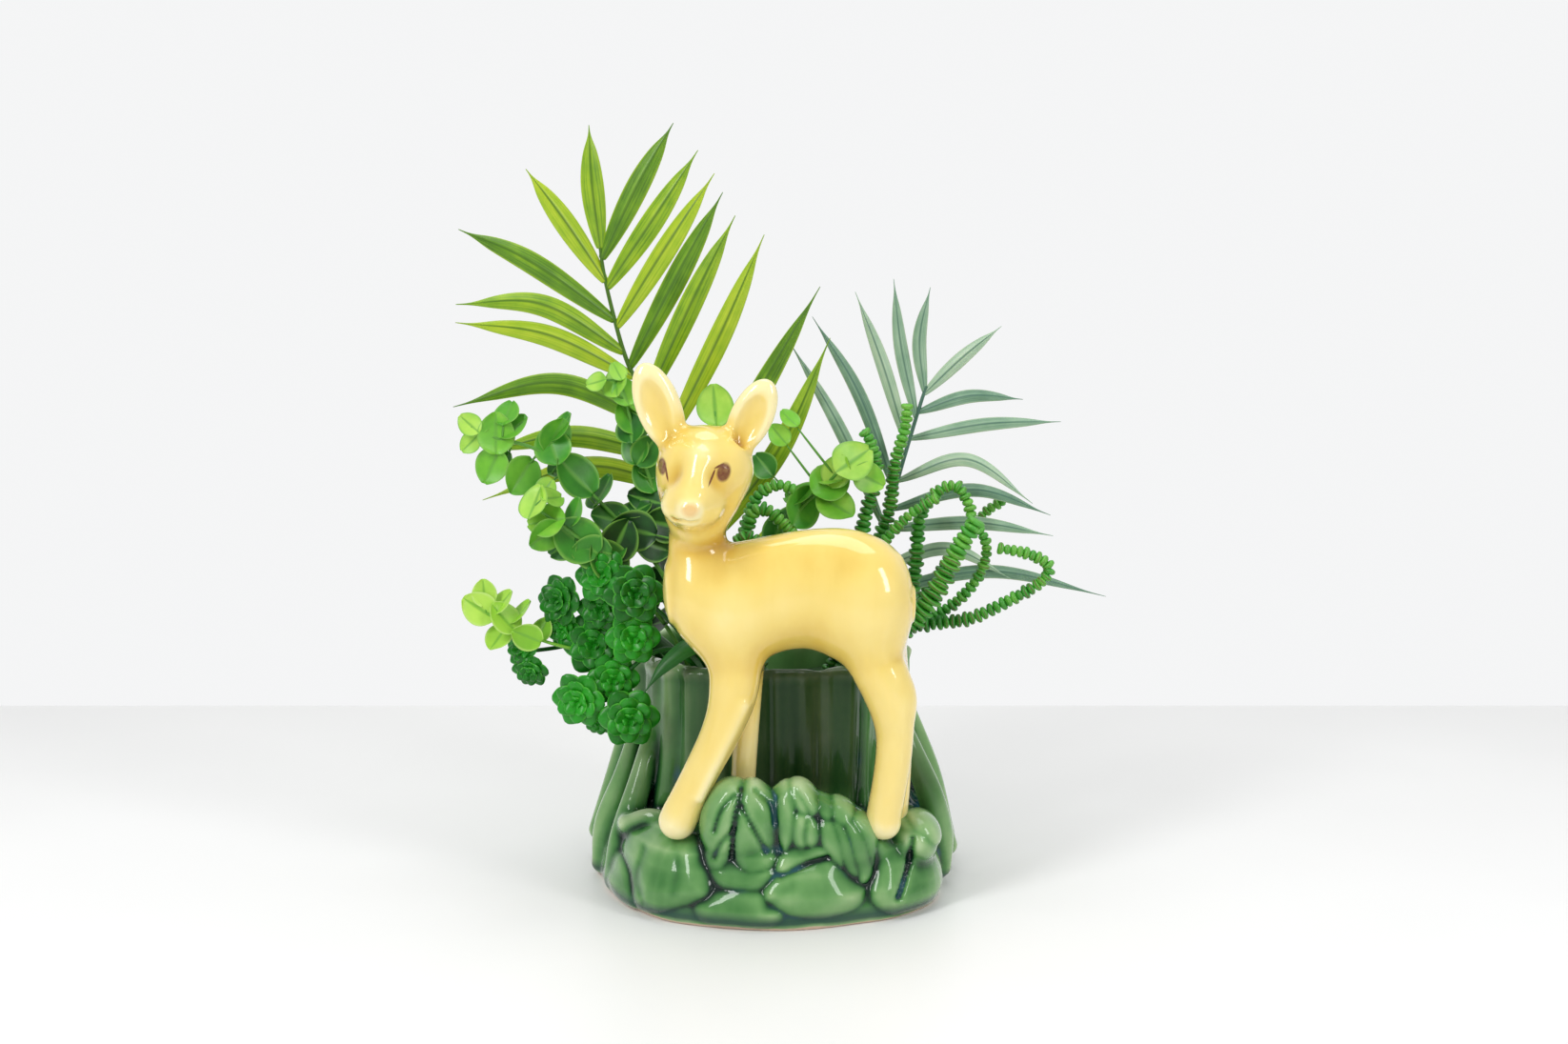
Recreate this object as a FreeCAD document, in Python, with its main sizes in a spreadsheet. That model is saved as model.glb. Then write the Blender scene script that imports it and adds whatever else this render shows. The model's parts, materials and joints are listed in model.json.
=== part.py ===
"""Television lamp: a ceramic fawn beside a hollow tree-stump planter, with artificial foliage.

Millimetres, +Z up. The origin is the centre of the ceramic foot on the table top.
+X is the viewer's right and -Y is the front. The bulb stands in an alcove at the back.
"""
import FreeCAD, Part
import math
import os
import re

import Sketcher
from FreeCAD import Matrix, Placement, Rotation, Vector

doc = FreeCAD.newDocument("TvLamp")

# ---------------------------------------------------------------------------------------
# Driving dimensions
# ---------------------------------------------------------------------------------------

DIMENSIONS = {
    # stump and ledge
    "stump_x": -2, "stump_y": 26, "rim_height": 112, "rim_radius": 71, "front_flat": -38,
    "flute_depth": 1.8, "flute_count": 13, "groove_radius": 6, "ledge_height": 38,
    "rear_pad": 44, "root_flare": 6, "flare_height": 22, "root_radius": 15, "root_length": 84,
    # planter pocket and foam
    "pocket_radius": 62, "pocket_floor": 38, "pocket_front": -31.5, "foam_gap": 1.5,
    "foam_bottom": 38, "foam_top": 98, "foot_wall": 7, "recess_height": 31,
    # bulb alcove
    "bulb_y": 64, "alcove_radius": 33, "alcove_wall": 6, "alcove_floor": 22,
    "alcove_mouth": 27, "alcove_recess": 16,
    # nipple, washers and nut
    "nipple_radius": 4.8, "nipple_bore": 3.2, "nipple_bottom": 8, "nipple_top": 32,
    "nipple_hole": 5.2, "washer_radius": 12, "washer_thickness": 1, "nut_circumradius": 8.4,
    "nut_thickness": 3.5,
    # lampholder
    "collar_radius": 7.5, "collar_top": 31, "cap_radius": 17, "cap_top": 46, "metal": 0.6,
    "shell_radius": 17.6, "shell_bottom": 42, "shell_top": 88, "bead": 0.9,
    "liner_radius": 16.8, "liner_thickness": 0.5, "liner_bottom": 47, "liner_top": 87,
    "holder_radius": 16.1, "holder_bottom": 47.5, "holder_top": 62, "contact_top": 63.8,
    "contact_radius": 4, "thread_radius": 13.9, "thread_bottom": 62, "thread_top": 86,
    "screw_radius": 2.4, "screw_spread": 9, "screw_height": 2,
    # switch
    "switch_height": 54, "spindle_radius": 2, "spindle_hole": 2.06, "spindle_start": 4,
    "spindle_end": 34, "knob_start": 22, "knob_radius": 6.5, "slot_half": 3,
    # bulb
    "base_radius": 13, "base_bottom": 64.2, "base_top": 88.6, "neck_radius": 12.6,
    "bulb_radius": 24, "bulb_centre": 130, "glass": 0.9, "mount_radius": 3,
    # cord grommet
    "grommet_height": 8, "grommet_hole": 5, "grommet_bore": 3.3, "grommet_flange": 7.2,
    "grommet_lip": 1.8, "rear_wall_inside": 82, "rear_wall_outside": 90,
    # fawn
    "fawn_y": -58, "near_legs_y": -67, "far_legs_y": -49, "fawn_wall": 4.5, "vent_radius": 2,
}

sheet = doc.addObject("Spreadsheet::Sheet", "Dimensions")
for row, (alias, value) in enumerate(DIMENSIONS.items(), start=1):
    sheet.set(f"A{row}", alias.replace("_", " "))
    sheet.set(f"B{row}", str(value))
    sheet.setAlias(f"B{row}", alias)
doc.recompute()

nodes = []


def size(alias):
    """The value of one cell of the spreadsheet, in millimetres."""
    return float(getattr(sheet, alias))


def keep(thing, label):
    """Names a finished sub-part, which is written to its own file."""
    thing.Label = label
    nodes.append(thing)
    return thing


# ---------------------------------------------------------------------------------------
# Parametric building blocks
# ---------------------------------------------------------------------------------------


def formula(text):
    """An expression in the spreadsheet's aliases, as the document writes it."""
    return re.sub(r"[a-z][a-z_]+", lambda found: "Dimensions." + found.group(), text)


def number(text):
    """The value that a formula has now."""
    value = sheet.evalExpression(formula(text))
    return float(getattr(value, "Value", value))


def bind(thing, **formulas):
    """Ties properties to formulas; two underscores stand for the dot in a property's path."""
    for path, text in formulas.items():
        thing.setExpression(path.replace("__", "."), formula(text))
    return thing


def cylinder(name, radius, height, bottom, y="bulb_y", x="0"):
    """An upright cylinder, each size a formula."""
    made = doc.addObject("Part::Cylinder", name)
    return bind(made, Radius=radius, Height=height, Placement__Base__x=x,
                Placement__Base__y=y, Placement__Base__z=bottom)


def rod(name, radius, start, end, height):
    """A cylinder along +Y on the line x = 0 at a height, each size a formula."""
    made = doc.addObject("Part::Cylinder", name)
    made.Placement = Placement(Vector(), Rotation(Vector(1, 0, 0), -90))
    return bind(made, Radius=radius, Height=f"{end} - ({start})", Placement__Base__y=start,
                Placement__Base__z=height)


def block(name, x, y, bottom, length, width, height):
    """An upright box from its lowest corner, each size a formula."""
    made = doc.addObject("Part::Box", name)
    return bind(made, Length=length, Width=width, Height=height, Placement__Base__x=x,
                Placement__Base__y=y, Placement__Base__z=bottom)


def fused(name, *parts):
    made = doc.addObject("Part::MultiFuse", name)
    made.Shapes = list(parts)
    return made


def cut(name, base, *tools):
    """Cuts the tools away one after another; the last cut has the plain name."""
    for i, tool in enumerate(tools, start=1):
        made = doc.addObject("Part::Cut", name if i == len(tools) else f"{name}_cut_{i}")
        made.Base = base
        made.Tool = tool
        base = made
    return base


def shaped(name, shape):
    """A document object for a shape that is lofted or bent in code."""
    made = doc.addObject("Part::Feature", name)
    made.Shape = shape
    made.Placement = Placement()
    return made


def turned(label, outline):
    """A revolved body about the bulb's axis, from an outline of (radius, height) formulas."""
    body = doc.addObject("PartDesign::Body", label)
    plane = next(p for p in body.Origin.OriginFeatures if p.Role == "XZ_Plane")
    sketch = body.newObject("Sketcher::SketchObject", label + "_outline")
    sketch.AttachmentSupport = [(plane, "")]
    sketch.MapMode = "FlatFace"
    spots = [Vector(number(r), number(h), 0) for r, h in outline]
    count = len(spots)
    for i in range(count):
        sketch.addGeometry(Part.LineSegment(spots[i], spots[(i + 1) % count]))
    for i in range(count):
        sketch.addConstraint(Sketcher.Constraint("Coincident", i, 2, (i + 1) % count, 1))
    for i, (radius, height) in enumerate(outline):
        if spots[i].x == 0:
            sketch.addConstraint(Sketcher.Constraint("PointOnObject", i, 1, -2))
        else:
            wide = Sketcher.Constraint("DistanceX", -1, 1, i, 1, spots[i].x)
            sketch.setExpression(f"Constraints[{sketch.addConstraint(wide)}]", formula(radius))
        high = Sketcher.Constraint("DistanceY", -1, 1, i, 1, spots[i].y)
        sketch.setExpression(f"Constraints[{sketch.addConstraint(high)}]", formula(height))
    turn = body.newObject("PartDesign::Revolution", label + "_turn")
    turn.Profile = sketch
    turn.ReferenceAxis = (sketch, ["V_Axis"])
    turn.Angle = 360
    return keep(bind(body, Placement__Base__y="bulb_y"), label)


# ---------------------------------------------------------------------------------------
# Lofted building blocks
# ---------------------------------------------------------------------------------------


def closed_curve(points):
    curve = Part.BSplineCurve()
    curve.interpolate(Points=points, PeriodicFlag=True)
    return Part.Wire([curve.toShape()])


def oval(centre, across, along, count=18):
    """Points round a centre, from the oval's two half-axes as vectors."""
    turns = [2 * math.pi * i / count for i in range(count)]
    return [centre + across * math.cos(t) + along * math.sin(t) for t in turns]


def eased(stations, between=2):
    """The stations of a limb with smoothly interpolated ones added between them."""
    curves = []
    for column in zip(*stations):
        curve = Part.BSplineCurve()
        spots = [Vector(i, value, 0) for i, value in enumerate(column)]
        curve.interpolate(spots, Parameters=list(range(len(column))))
        curves.append(curve)
    count = (len(stations) - 1) * between + 1
    return [[c.value(i / between).y for c in curves] for i in range(count)]


def limb(stations):
    """A solid limb through level rings of (x, y, z, radius), flat at both ends."""
    return faceted([oval(Vector(x, y, z), Vector(r, 0, 0), Vector(0, r, 0))
                    for x, y, z, r in eased(stations)])


def ellipsoid(centre, radii, turn=Rotation()):
    """A ball stretched to three radii, turned and placed."""
    stretch = Matrix()
    stretch.scale(Vector(*radii))
    placed = Placement(Vector(*centre), turn).toMatrix().multiply(stretch)
    return Part.makeSphere(1).transformGeometry(placed)


def faceted(rings):
    """A closed solid of flat facets through rings of points; a ring of one point is a tip."""
    faces = []

    def facet(*corners):
        faces.append(Part.Face(Part.makePolygon(list(corners) + [corners[0]])))

    for low, high in zip(rings, rings[1:]):
        count = max(len(low), len(high))
        for i in range(count):
            j = (i + 1) % count
            if len(low) > 1:
                facet(low[i], low[j], high[i % len(high)])
            if len(high) > 1:
                facet(low[j % len(low)], high[j], high[i])
    for ring in (rings[0], rings[-1]):
        if len(ring) > 1:
            facet(*ring)
    solid = Part.makeSolid(Part.makeShell(faces))
    return solid if solid.Volume > 0 else solid.reversed()


def route(points, steps):
    """Evenly spread points on one smooth curve through a list of points."""
    curve = Part.BSplineCurve()
    curve.interpolate([Vector(*p) for p in points])
    return curve.discretize(steps)


def stalk(points, thick, thin, sides=6, steps=10):
    """A tapering faceted stem along a route, from its base to its tip."""
    path = route(points, steps)
    rings = []
    across = Vector(0, 1, 0)
    for i, spot in enumerate(path):
        ahead = path[min(i + 1, steps - 1)] - path[max(i - 1, 0)]
        ahead.normalize()
        across = (across - ahead * across.dot(ahead)).normalize()
        side = ahead.cross(across)
        radius = thick + (thin - thick) * i / (steps - 1)
        turns = [2 * math.pi * k / sides for k in range(sides)]
        rings.append([spot + (across * math.cos(t) + side * math.sin(t)) * radius for t in turns])
    return faceted(rings)


BLADE_OUTLINE = ((0.12, 0.55), (0.35, 1.0), (0.62, 0.85), (0.84, 0.45))
BLADE_THICKNESS = 0.9


def blade(points, width, facing=Vector(0, -1, 0.25), across=None):
    """A pointed leaf with a folded midrib along a route.

    Its upper face looks along facing, or it is as level as the direction across.
    """
    steps = 26
    path = route(points, steps)
    rings = [[path[0]]]
    for share, fullness in BLADE_OUTLINE:
        i = round(share * (steps - 1))
        ahead = (path[i + 1] - path[i - 1]).normalize()
        up = across.cross(ahead) if across else facing - ahead * facing.dot(ahead)
        up.normalize()
        side = ahead.cross(up) * (width / 2 * fullness)
        rib = up * BLADE_THICKNESS
        rings.append([path[i] + side + rib, path[i] + rib * 0.5,
                      path[i] - side + rib, path[i] - rib * 0.5])
    return faceted(rings + [[path[-1]]])


def disc(centre, radius, facing, thickness=1.2, sides=8):
    """A round leaf as a thin faceted lens."""
    facing = Vector(*facing).normalize()
    across = facing.cross(Vector(0.31, 0.2, 0.93)).normalize()
    side = facing.cross(across)
    spot = Vector(*centre)
    turns = [2 * math.pi * k / sides for k in range(sides)]
    edge = [spot + (across * math.cos(t) + side * math.sin(t)) * radius for t in turns]
    low, high = spot - facing * thickness / 2, spot + facing * thickness / 2
    return faceted([[low], edge, [high]])


def one_piece(parts):
    """Parts moulded together as one solid."""
    return parts[0].multiFuse(parts[1:]).removeSplitter() if len(parts) > 1 else parts[0]


# ---------------------------------------------------------------------------------------
# Stump planter
# ---------------------------------------------------------------------------------------

FOOT = [(0, -91), (-28, -86), (-53, -75), (-74, -48), (-82, -28), (-87, -5), (-91, 20),
        (-86, 48), (-66, 74), (-36, 88), (0, 90), (36, 88), (68, 74), (91, 42), (91, 14),
        (85, -20), (80, -50), (61, -72), (40, -82), (20, -89)]
LEDGE_SECTIONS = ((0, 0.985), (3, 1.0), (14, 1.015), (28, 0.99), (34, 0.965), (38, 0.91))

ROOT_ANGLES = (-8, 38, 142, 188)


def foot_ring(height, scale, inset=0.0, count=44):
    """The foot's outline at one height, scaled, or drawn in by an inset."""
    points = []
    for x, y in FOOT:
        reach = math.hypot(x, y)
        points.append(Vector(x, y, 0) * ((scale * reach - inset) / reach) + Vector(0, 0, height))
    return closed_curve(points).discretize(count + 1)[:-1]


ledge = shaped("ledge", faceted([foot_ring(z, scale) for z, scale in LEDGE_SECTIONS]))

trunk_bottom = "ledge_height - 4"
drum = cylinder("trunk_drum", "rim_radius", f"rim_height - ({trunk_bottom})", trunk_bottom,
                "stump_y", "stump_x")
flare = doc.addObject("Part::Cone", "trunk_flare")
bind(flare, Radius1="rim_radius + root_flare", Radius2="rim_radius", Height="flare_height",
     Placement__Base__x="stump_x", Placement__Base__y="stump_y", Placement__Base__z=trunk_bottom)
roots = []
for i, angle in enumerate(ROOT_ANGLES, start=1):
    root = doc.addObject("Part::Cone", f"root_{i}")
    bind(root, Radius1="root_radius", Radius2="2", Height="root_length")
    outward = Vector(math.cos(math.radians(angle)), math.sin(math.radians(angle)), 0)
    axle = Vector(0, 0, 1).cross(outward)
    foot = Vector(size("stump_x"), size("stump_y"), 0) + outward * (size("rim_radius") + 4)
    root.Placement = Placement(foot + Vector(0, 0, 12), Rotation(axle, -9))
    roots.append(root)
grooves = []
for i in range(int(size("flute_count"))):
    angle = 2 * math.pi * (i + 0.5) / size("flute_count")
    groove = doc.addObject("Part::Cylinder", f"bark_groove_{i + 1}")
    bind(groove, Radius="groove_radius", Height="rim_height", Placement__Base__z="ledge_height + 4")
    reach = size("rim_radius") + size("groove_radius") - size("flute_depth")
    groove.Placement = Placement(Vector(size("stump_x") + reach * math.cos(angle),
                                        size("stump_y") + reach * math.sin(angle),
                                        size("ledge_height") + 4), Rotation())
    grooves.append(groove)
front = block("trunk_front", "-100", "-100", "0", "200", "100 + front_flat", "200")
trunk = cut("trunk", fused("trunk_blank", drum, flare, *roots), front, *grooves)

LUMPS = (  # leaves and stones on the front of the ledge: centre and radii
    ((-12, -69, 36), (19, 10, 28)), ((20, -69, 36), (20, 10, 24)),
    ((-30, -78, 22), (20, 12, 17)), ((8, -80, 20), (20, 11, 18)), ((40, -74, 20), (20, 12, 15)),
    ((-66, -44, 24), (12, 16, 17)), ((70, -42, 24), (13, 18, 17)),
)
lumps = [shaped(f"lump_{i + 1}", ellipsoid(*lump)) for i, lump in enumerate(LUMPS)]
pads = [cylinder(f"rear_hoof_pad_{i + 1}", "10", "rear_pad - ledge_height + 3",
                 "ledge_height - 3", "far_legs_y", x) for i, x in enumerate(("-14", "58"))]
outside = fused("planter_outside", ledge, trunk, *lumps, *pads)

alcove = fused(
    "alcove",
    cylinder("alcove_round", "alcove_radius", "rim_height", "alcove_floor"),
    block("alcove_opening", "-alcove_mouth", "bulb_y", "alcove_floor", "2 * alcove_mouth",
          "60", "rim_height"))
alcove_keep = fused(
    "alcove_walls",
    cylinder("alcove_jacket", "alcove_radius + alcove_wall", "rim_height + 10", "-1"),
    block("alcove_cheeks", "-alcove_mouth - alcove_wall", "bulb_y", "-1",
          "2 * (alcove_mouth + alcove_wall)", "60", "rim_height + 10"))


def pocket_shape(name, inset, bottom, height):
    """The upright room between the trunk's wall, its flat front and the alcove."""
    drum = cylinder(name + "_drum", f"pocket_radius - {inset}", height, bottom, "stump_y",
                    "stump_x")
    front = block(name + "_front", "-100", "-100", f"{bottom} - 1", "200",
                  f"100 + pocket_front + {inset}", f"{height} + 2")
    jacket = cylinder(name + "_jacket", f"alcove_radius + alcove_wall + {inset}",
                      f"{height} + 2", f"{bottom} - 1")
    cheeks = block(name + "_cheeks", f"-alcove_mouth - alcove_wall - {inset}", "bulb_y",
                   f"{bottom} - 1", f"2 * (alcove_mouth + alcove_wall + {inset})", "60",
                   f"{height} + 2")
    return cut(name, drum, front, jacket, cheeks)


pocket = pocket_shape("pocket", "0", "pocket_floor", "rim_height")
hollow = shaped("foot_hollow", faceted(
    [foot_ring(z, scale, size("foot_wall"), 20)
     for z, scale in ((-1, 1.0), (14, 1.0), (24, 0.97), (size("recess_height"), 0.88))]))
underside = cut("underside", hollow, alcove_keep)
shallow = cylinder("alcove_underside", "alcove_radius - 13", "alcove_recess + 1", "-1")
bolt_hole = cylinder("bolt_hole", "nipple_hole", "20", "alcove_floor - 10")
cord_notch = block("cord_notch", "-grommet_hole", "bulb_y", "-1", "2 * grommet_hole", "46",
                   "grommet_height + grommet_hole + 1")
grommet_seat = block("grommet_seat", "-grommet_flange - 0.6", "rear_wall_outside", "-1",
                     "2 * (grommet_flange + 0.6)", "20",
                     "grommet_height + grommet_flange + 1.6")
keep(cut("stump_planter", outside, alcove, pocket, underside, shallow, bolt_hole, cord_notch,
         grommet_seat), "stump_planter")

keep(pocket_shape("foam", "foam_gap", "foam_bottom", "foam_top - foam_bottom"), "floral_foam")

# ---------------------------------------------------------------------------------------
# Fawn
# ---------------------------------------------------------------------------------------

TORSO = (  # along the back: x, height of the middle, half height, half width
    (-45, 152, 10, 9), (-40, 151, 19, 16), (-28, 149, 26, 20), (-8, 151, 28, 21.5),
    (15, 155.3, 27.8, 21.5), (33, 153, 31, 21.5), (47, 150, 31, 20.5), (57, 149, 25, 17),
    (63, 148, 16, 11), (66, 148, 6, 5))
NECK = ((-30, 6, 150, 18), (-32, 6, 163, 16.5), (-34, 7, 178, 14.5), (-33, 8, 195, 15))
HEAD = ((-31, -64, 207), (22, 22, 25))
NEAR_FRONT = ((-20, 138, 14), (-17, 120, 13), (-19, 106, 10.5), (-24, 90, 9), (-31, 73, 8.8),
              (-39, 57, 9.3), (-44, 46, 8.6), (-46, 38, 8))
NEAR_REAR = ((48, 145, 16), (51, 124, 15), (56, 103, 10.5), (56, 86, 9), (55, 64, 8.5),
             (53, 47, 8.3), (53, 38, 8))
FAR_FRONT = ((-14, 130, 12), (-13, 104, 8.2), (-14, 76, 6.8), (-14, 54, 6.8), (-14, 44, 7.4))
FAR_REAR = ((48, 140, 14), (55, 108, 10), (58, 82, 7.8), (58, 58, 7.6), (58, 44, 8))
TAIL = ((60, 160, 6), (66, 151, 5.5), (66, 138, 2.5))


def body_rings(shrink):
    stations = [s for s in TORSO if min(s[2], s[3]) > 2 * shrink]
    return [oval(Vector(x, size("fawn_y"), z), Vector(0, w - shrink, 0), Vector(0, 0, h - shrink))
            for x, z, h, w in eased(stations)]


def leg(stations, y_top, y_foot):
    """A leg whose thigh grows out of the body and whose hoof stands at y_foot."""
    high, low = stations[0][1], stations[2][1]
    placed = []
    for x, z, r in stations:
        lean = min(1, max(0, (high - z) / (high - low)))
        placed.append((x, y_top + (y_foot - y_top) * lean, z, r))
    return limb(placed)


def neck(shrink):
    return limb([(x, size("fawn_y") - y, z, r - shrink) for x, y, z, r in NECK])


near_y, far_y = size("near_legs_y"), size("far_legs_y")
muzzle = faceted([
    oval(Vector(-31, -74, 206), Vector(16, 0, 0), Vector(0, 0, 17)),
    oval(Vector(-33, -84, 202), Vector(11, 0, 0), Vector(0, 0, 11)),
    oval(Vector(-34.5, -92, 199), Vector(8.5, 0, 0), Vector(0, 0, 7.5)),
    oval(Vector(-35, -95, 198), Vector(6.5, 0, 0), Vector(0, 0, 5.5))])
ears = [ellipsoid((-52, -60, 239), (8, 4.5, 24), Rotation(Vector(0, 1, 0), -13)),
        ellipsoid((-9, -60, 233), (8.5, 4.5, 23), Rotation(Vector(0, 1, 0), 30))]
solid_parts = [
    faceted(body_rings(0)), neck(0), ellipsoid(HEAD[0], HEAD[1]), muzzle, *ears,
    leg(NEAR_FRONT, size("fawn_y") - 4, near_y), leg(NEAR_REAR, size("fawn_y") - 4, near_y),
    leg(FAR_FRONT, size("fawn_y") + 4, far_y), leg(FAR_REAR, size("fawn_y") + 4, far_y),
    limb([(x, size("fawn_y"), z, r) for x, z, r in TAIL])]
wall = size("fawn_wall")
cast = fused("fawn_outside", *[shaped(f"fawn_part_{i + 1}", p) for i, p in enumerate(solid_parts)])
inside = [faceted(body_rings(wall)), neck(wall),
          ellipsoid(HEAD[0], [r - wall for r in HEAD[1]])]
core = fused("fawn_core", *[shaped(f"fawn_core_part_{i + 1}", p) for i, p in enumerate(inside)])
vent = cylinder("fawn_vent", "vent_radius", "50", "100", "fawn_y", "20")
keep(cut("fawn", cast, core, vent), "fawn")

# ---------------------------------------------------------------------------------------
# Lampholder, switch, bulb and cord grommet
# ---------------------------------------------------------------------------------------

turned("threaded_nipple", [("nipple_bore", "nipple_bottom"), ("nipple_radius", "nipple_bottom"),
                           ("nipple_radius", "nipple_top"), ("nipple_bore", "nipple_top")])
turned("upper_washer", [("nipple_hole", "alcove_floor"), ("washer_radius", "alcove_floor"),
                        ("washer_radius", "alcove_floor + washer_thickness"),
                        ("nipple_hole", "alcove_floor + washer_thickness")])
turned("lower_washer", [("nipple_hole", "alcove_recess - washer_thickness"),
                        ("washer_radius", "alcove_recess - washer_thickness"),
                        ("washer_radius", "alcove_recess"), ("nipple_hole", "alcove_recess")])

nut_blank = doc.addObject("Part::Prism", "nut_blank")
nut_blank.Polygon = 6
bind(nut_blank, Circumradius="nut_circumradius", Height="nut_thickness",
     Placement__Base__y="bulb_y",
     Placement__Base__z="alcove_recess - washer_thickness - nut_thickness")
nut_hole = cylinder("nut_hole", "nipple_radius", "30", "0")
keep(cut("nipple_nut", nut_blank, nut_hole), "nipple_nut")

turned("socket_cap", [
    ("nipple_radius", "alcove_floor + washer_thickness"),
    ("collar_radius", "alcove_floor + washer_thickness"), ("collar_radius", "collar_top"),
    ("cap_radius - 4", "collar_top + 3"), ("cap_radius", "collar_top + 8"),
    ("cap_radius", "cap_top"), ("cap_radius - metal", "cap_top"),
    ("cap_radius - metal", "collar_top + 8.4"), ("cap_radius - 4.4", "collar_top + 3.7"),
    ("nipple_radius", "collar_top + 0.7")])
shell_blank = turned("socket_shell_blank", [
    ("shell_radius - metal", "shell_bottom"), ("shell_radius", "shell_bottom"),
    ("shell_radius", "shell_top - 8"), ("shell_radius + bead", "shell_top - 6.5"),
    ("shell_radius", "shell_top - 5"), ("shell_radius", "shell_top"),
    ("shell_radius - metal", "shell_top")])
nodes.remove(shell_blank)
shell_blank.Label = "shell_blank"
shell_slot = rod("shell_slot", "slot_half", "bulb_y + 10", "bulb_y + 25", "switch_height")
keep(cut("socket_shell", shell_blank, shell_slot), "socket_shell")

liner_outer = cylinder("liner_outer", "liner_radius", "liner_top - liner_bottom", "liner_bottom")
liner_inner = cylinder("liner_inner", "liner_radius - liner_thickness", "60", "40")
liner_slot = rod("liner_slot", "slot_half", "bulb_y + 10", "bulb_y + 25", "switch_height")
keep(cut("socket_liner", liner_outer, liner_inner, liner_slot), "socket_liner")

holder_blank = cylinder("holder_blank", "holder_radius", "holder_top - holder_bottom",
                        "holder_bottom")
holder_bore = rod("holder_bore", "spindle_hole", "bulb_y + spindle_start - 0.4", "bulb_y + 25",
                  "switch_height")
wire_ways = [cylinder(f"wire_way_{i + 1}", "1.6", "holder_top - holder_bottom + 2",
                      "holder_bottom - 1", "bulb_y - 9", x) for i, x in enumerate(("-6", "6"))]
keep(cut("socket_body", holder_blank, holder_bore, *wire_ways), "socket_body")

turned("screw_shell", [
    ("thread_radius - metal", "thread_bottom"), ("thread_radius", "thread_bottom"),
    ("thread_radius", "thread_top"), ("thread_radius - metal", "thread_top")])
turned("centre_contact", [("0", "holder_top"), ("contact_radius", "holder_top"),
                          ("contact_radius", "holder_top + 0.6"), ("1.6", "contact_top"),
                          ("0", "contact_top")])

for side, sign in (("left", "-"), ("right", "")):
    head_blank = cylinder(f"terminal_{side}_head", "screw_radius", "screw_height",
                          "holder_bottom - screw_height", "bulb_y", f"{sign}screw_spread")
    slot = block(f"terminal_{side}_slot", f"{sign}screw_spread - 0.4", "bulb_y - 5",
                 "holder_bottom - screw_height - 1", "0.8", "10", "1.8")
    keep(cut(f"terminal_screw_{side}", head_blank, slot), f"terminal_screw_{side}")

keep(rod("switch_spindle", "spindle_radius", "bulb_y + spindle_start", "bulb_y + spindle_end",
         "switch_height"), "switch_spindle")
knob_blank = rod("knob_blank", "knob_radius", "bulb_y + knob_start", "bulb_y + spindle_end",
                 "switch_height")
knob_bore = rod("knob_bore", "spindle_radius", "bulb_y", "bulb_y + 60", "switch_height")
grips = []
for i in range(12):
    turn = Rotation(Vector(0, 1, 0), 30 * i)
    spot = turn.multVec(Vector(size("knob_radius") + 0.35, 0, 0))
    grip = doc.addObject("Part::Cylinder", f"knob_groove_{i + 1}")
    grip.Radius = 0.9
    grip.Height = 30
    grip.Placement = Placement(Vector(spot.x, size("bulb_y") + 15, size("switch_height") + spot.z),
                               Rotation(Vector(1, 0, 0), -90))
    grips.append(grip)
keep(cut("switch_knob", knob_blank, knob_bore, *grips), "switch_knob")

turned("bulb_base", [
    ("0", "base_bottom"), ("4.5", "base_bottom"), ("6", "base_bottom + 1.5"),
    ("9.5", "base_bottom + 3"), ("base_radius", "base_bottom + 5"), ("base_radius", "base_top"),
    ("0", "base_top")])


def envelope(inner):
    """Points on one wall of the glass envelope, from the neck up, as formulas."""
    wall_text = " - glass" if inner else ""
    rows = [(f"neck_radius{wall_text}", "base_top"), (f"neck_radius{wall_text}", "base_top + 8"),
            (f"neck_radius + 4{wall_text}", "base_top + 19")]
    for angle in (-20, 0, 20, 40, 60, 78):
        wide, high = math.cos(math.radians(angle)), math.sin(math.radians(angle))
        rows.append((f"(bulb_radius{wall_text}) * {wide:.4f}",
                     f"bulb_centre + (bulb_radius{wall_text}) * {high:.4f}"))
    return rows + [("0", f"bulb_centre + bulb_radius{wall_text}")]


turned("bulb_glass", envelope(False) + envelope(True)[::-1])
turned("bulb_mount", [("0", "base_top"), ("mount_radius + 2", "base_top"),
                      ("mount_radius", "base_top + 6"), ("mount_radius", "base_top + 22"),
                      ("1", "base_top + 24"), ("0.7", "bulb_centre"), ("0", "bulb_centre")])

inside_y, outside_y = "rear_wall_inside", "rear_wall_outside"
grommet_core = rod("grommet_core", "grommet_hole", inside_y, outside_y, "grommet_height")
grommet_lip = rod("grommet_outer_lip", "grommet_flange", outside_y,
                  f"{outside_y} + grommet_lip", "grommet_height")
grommet_bore = rod("grommet_bore", "grommet_bore", "70", "110", "grommet_height")
keep(cut("cord_grommet", fused("grommet_blank", grommet_core, grommet_lip), grommet_bore),
     "cord_grommet")

# ---------------------------------------------------------------------------------------
# Foliage: every piece is moulded in one and stands in the foam
# ---------------------------------------------------------------------------------------


STEM_STEPS = 12


def on_stem(stem, spot):
    """The point of a stem's line that is nearest to a spot."""
    path = Part.makePolygon(route(stem, STEM_STEPS))
    return path.distToShape(Part.Vertex(Vector(*spot)))[1][0][0]


def frond(label, rachis, thick, leaflets, width):
    """A palm frond: a stem with leaflets, each a route from the stem to its tip."""
    parts = [stalk(rachis, thick, 0.9, steps=STEM_STEPS)]
    parts += [blade([tuple(on_stem(rachis, points[0]))] + points[1:], width) for points in leaflets]
    keep(shaped(label, one_piece(parts)), label)


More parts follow.
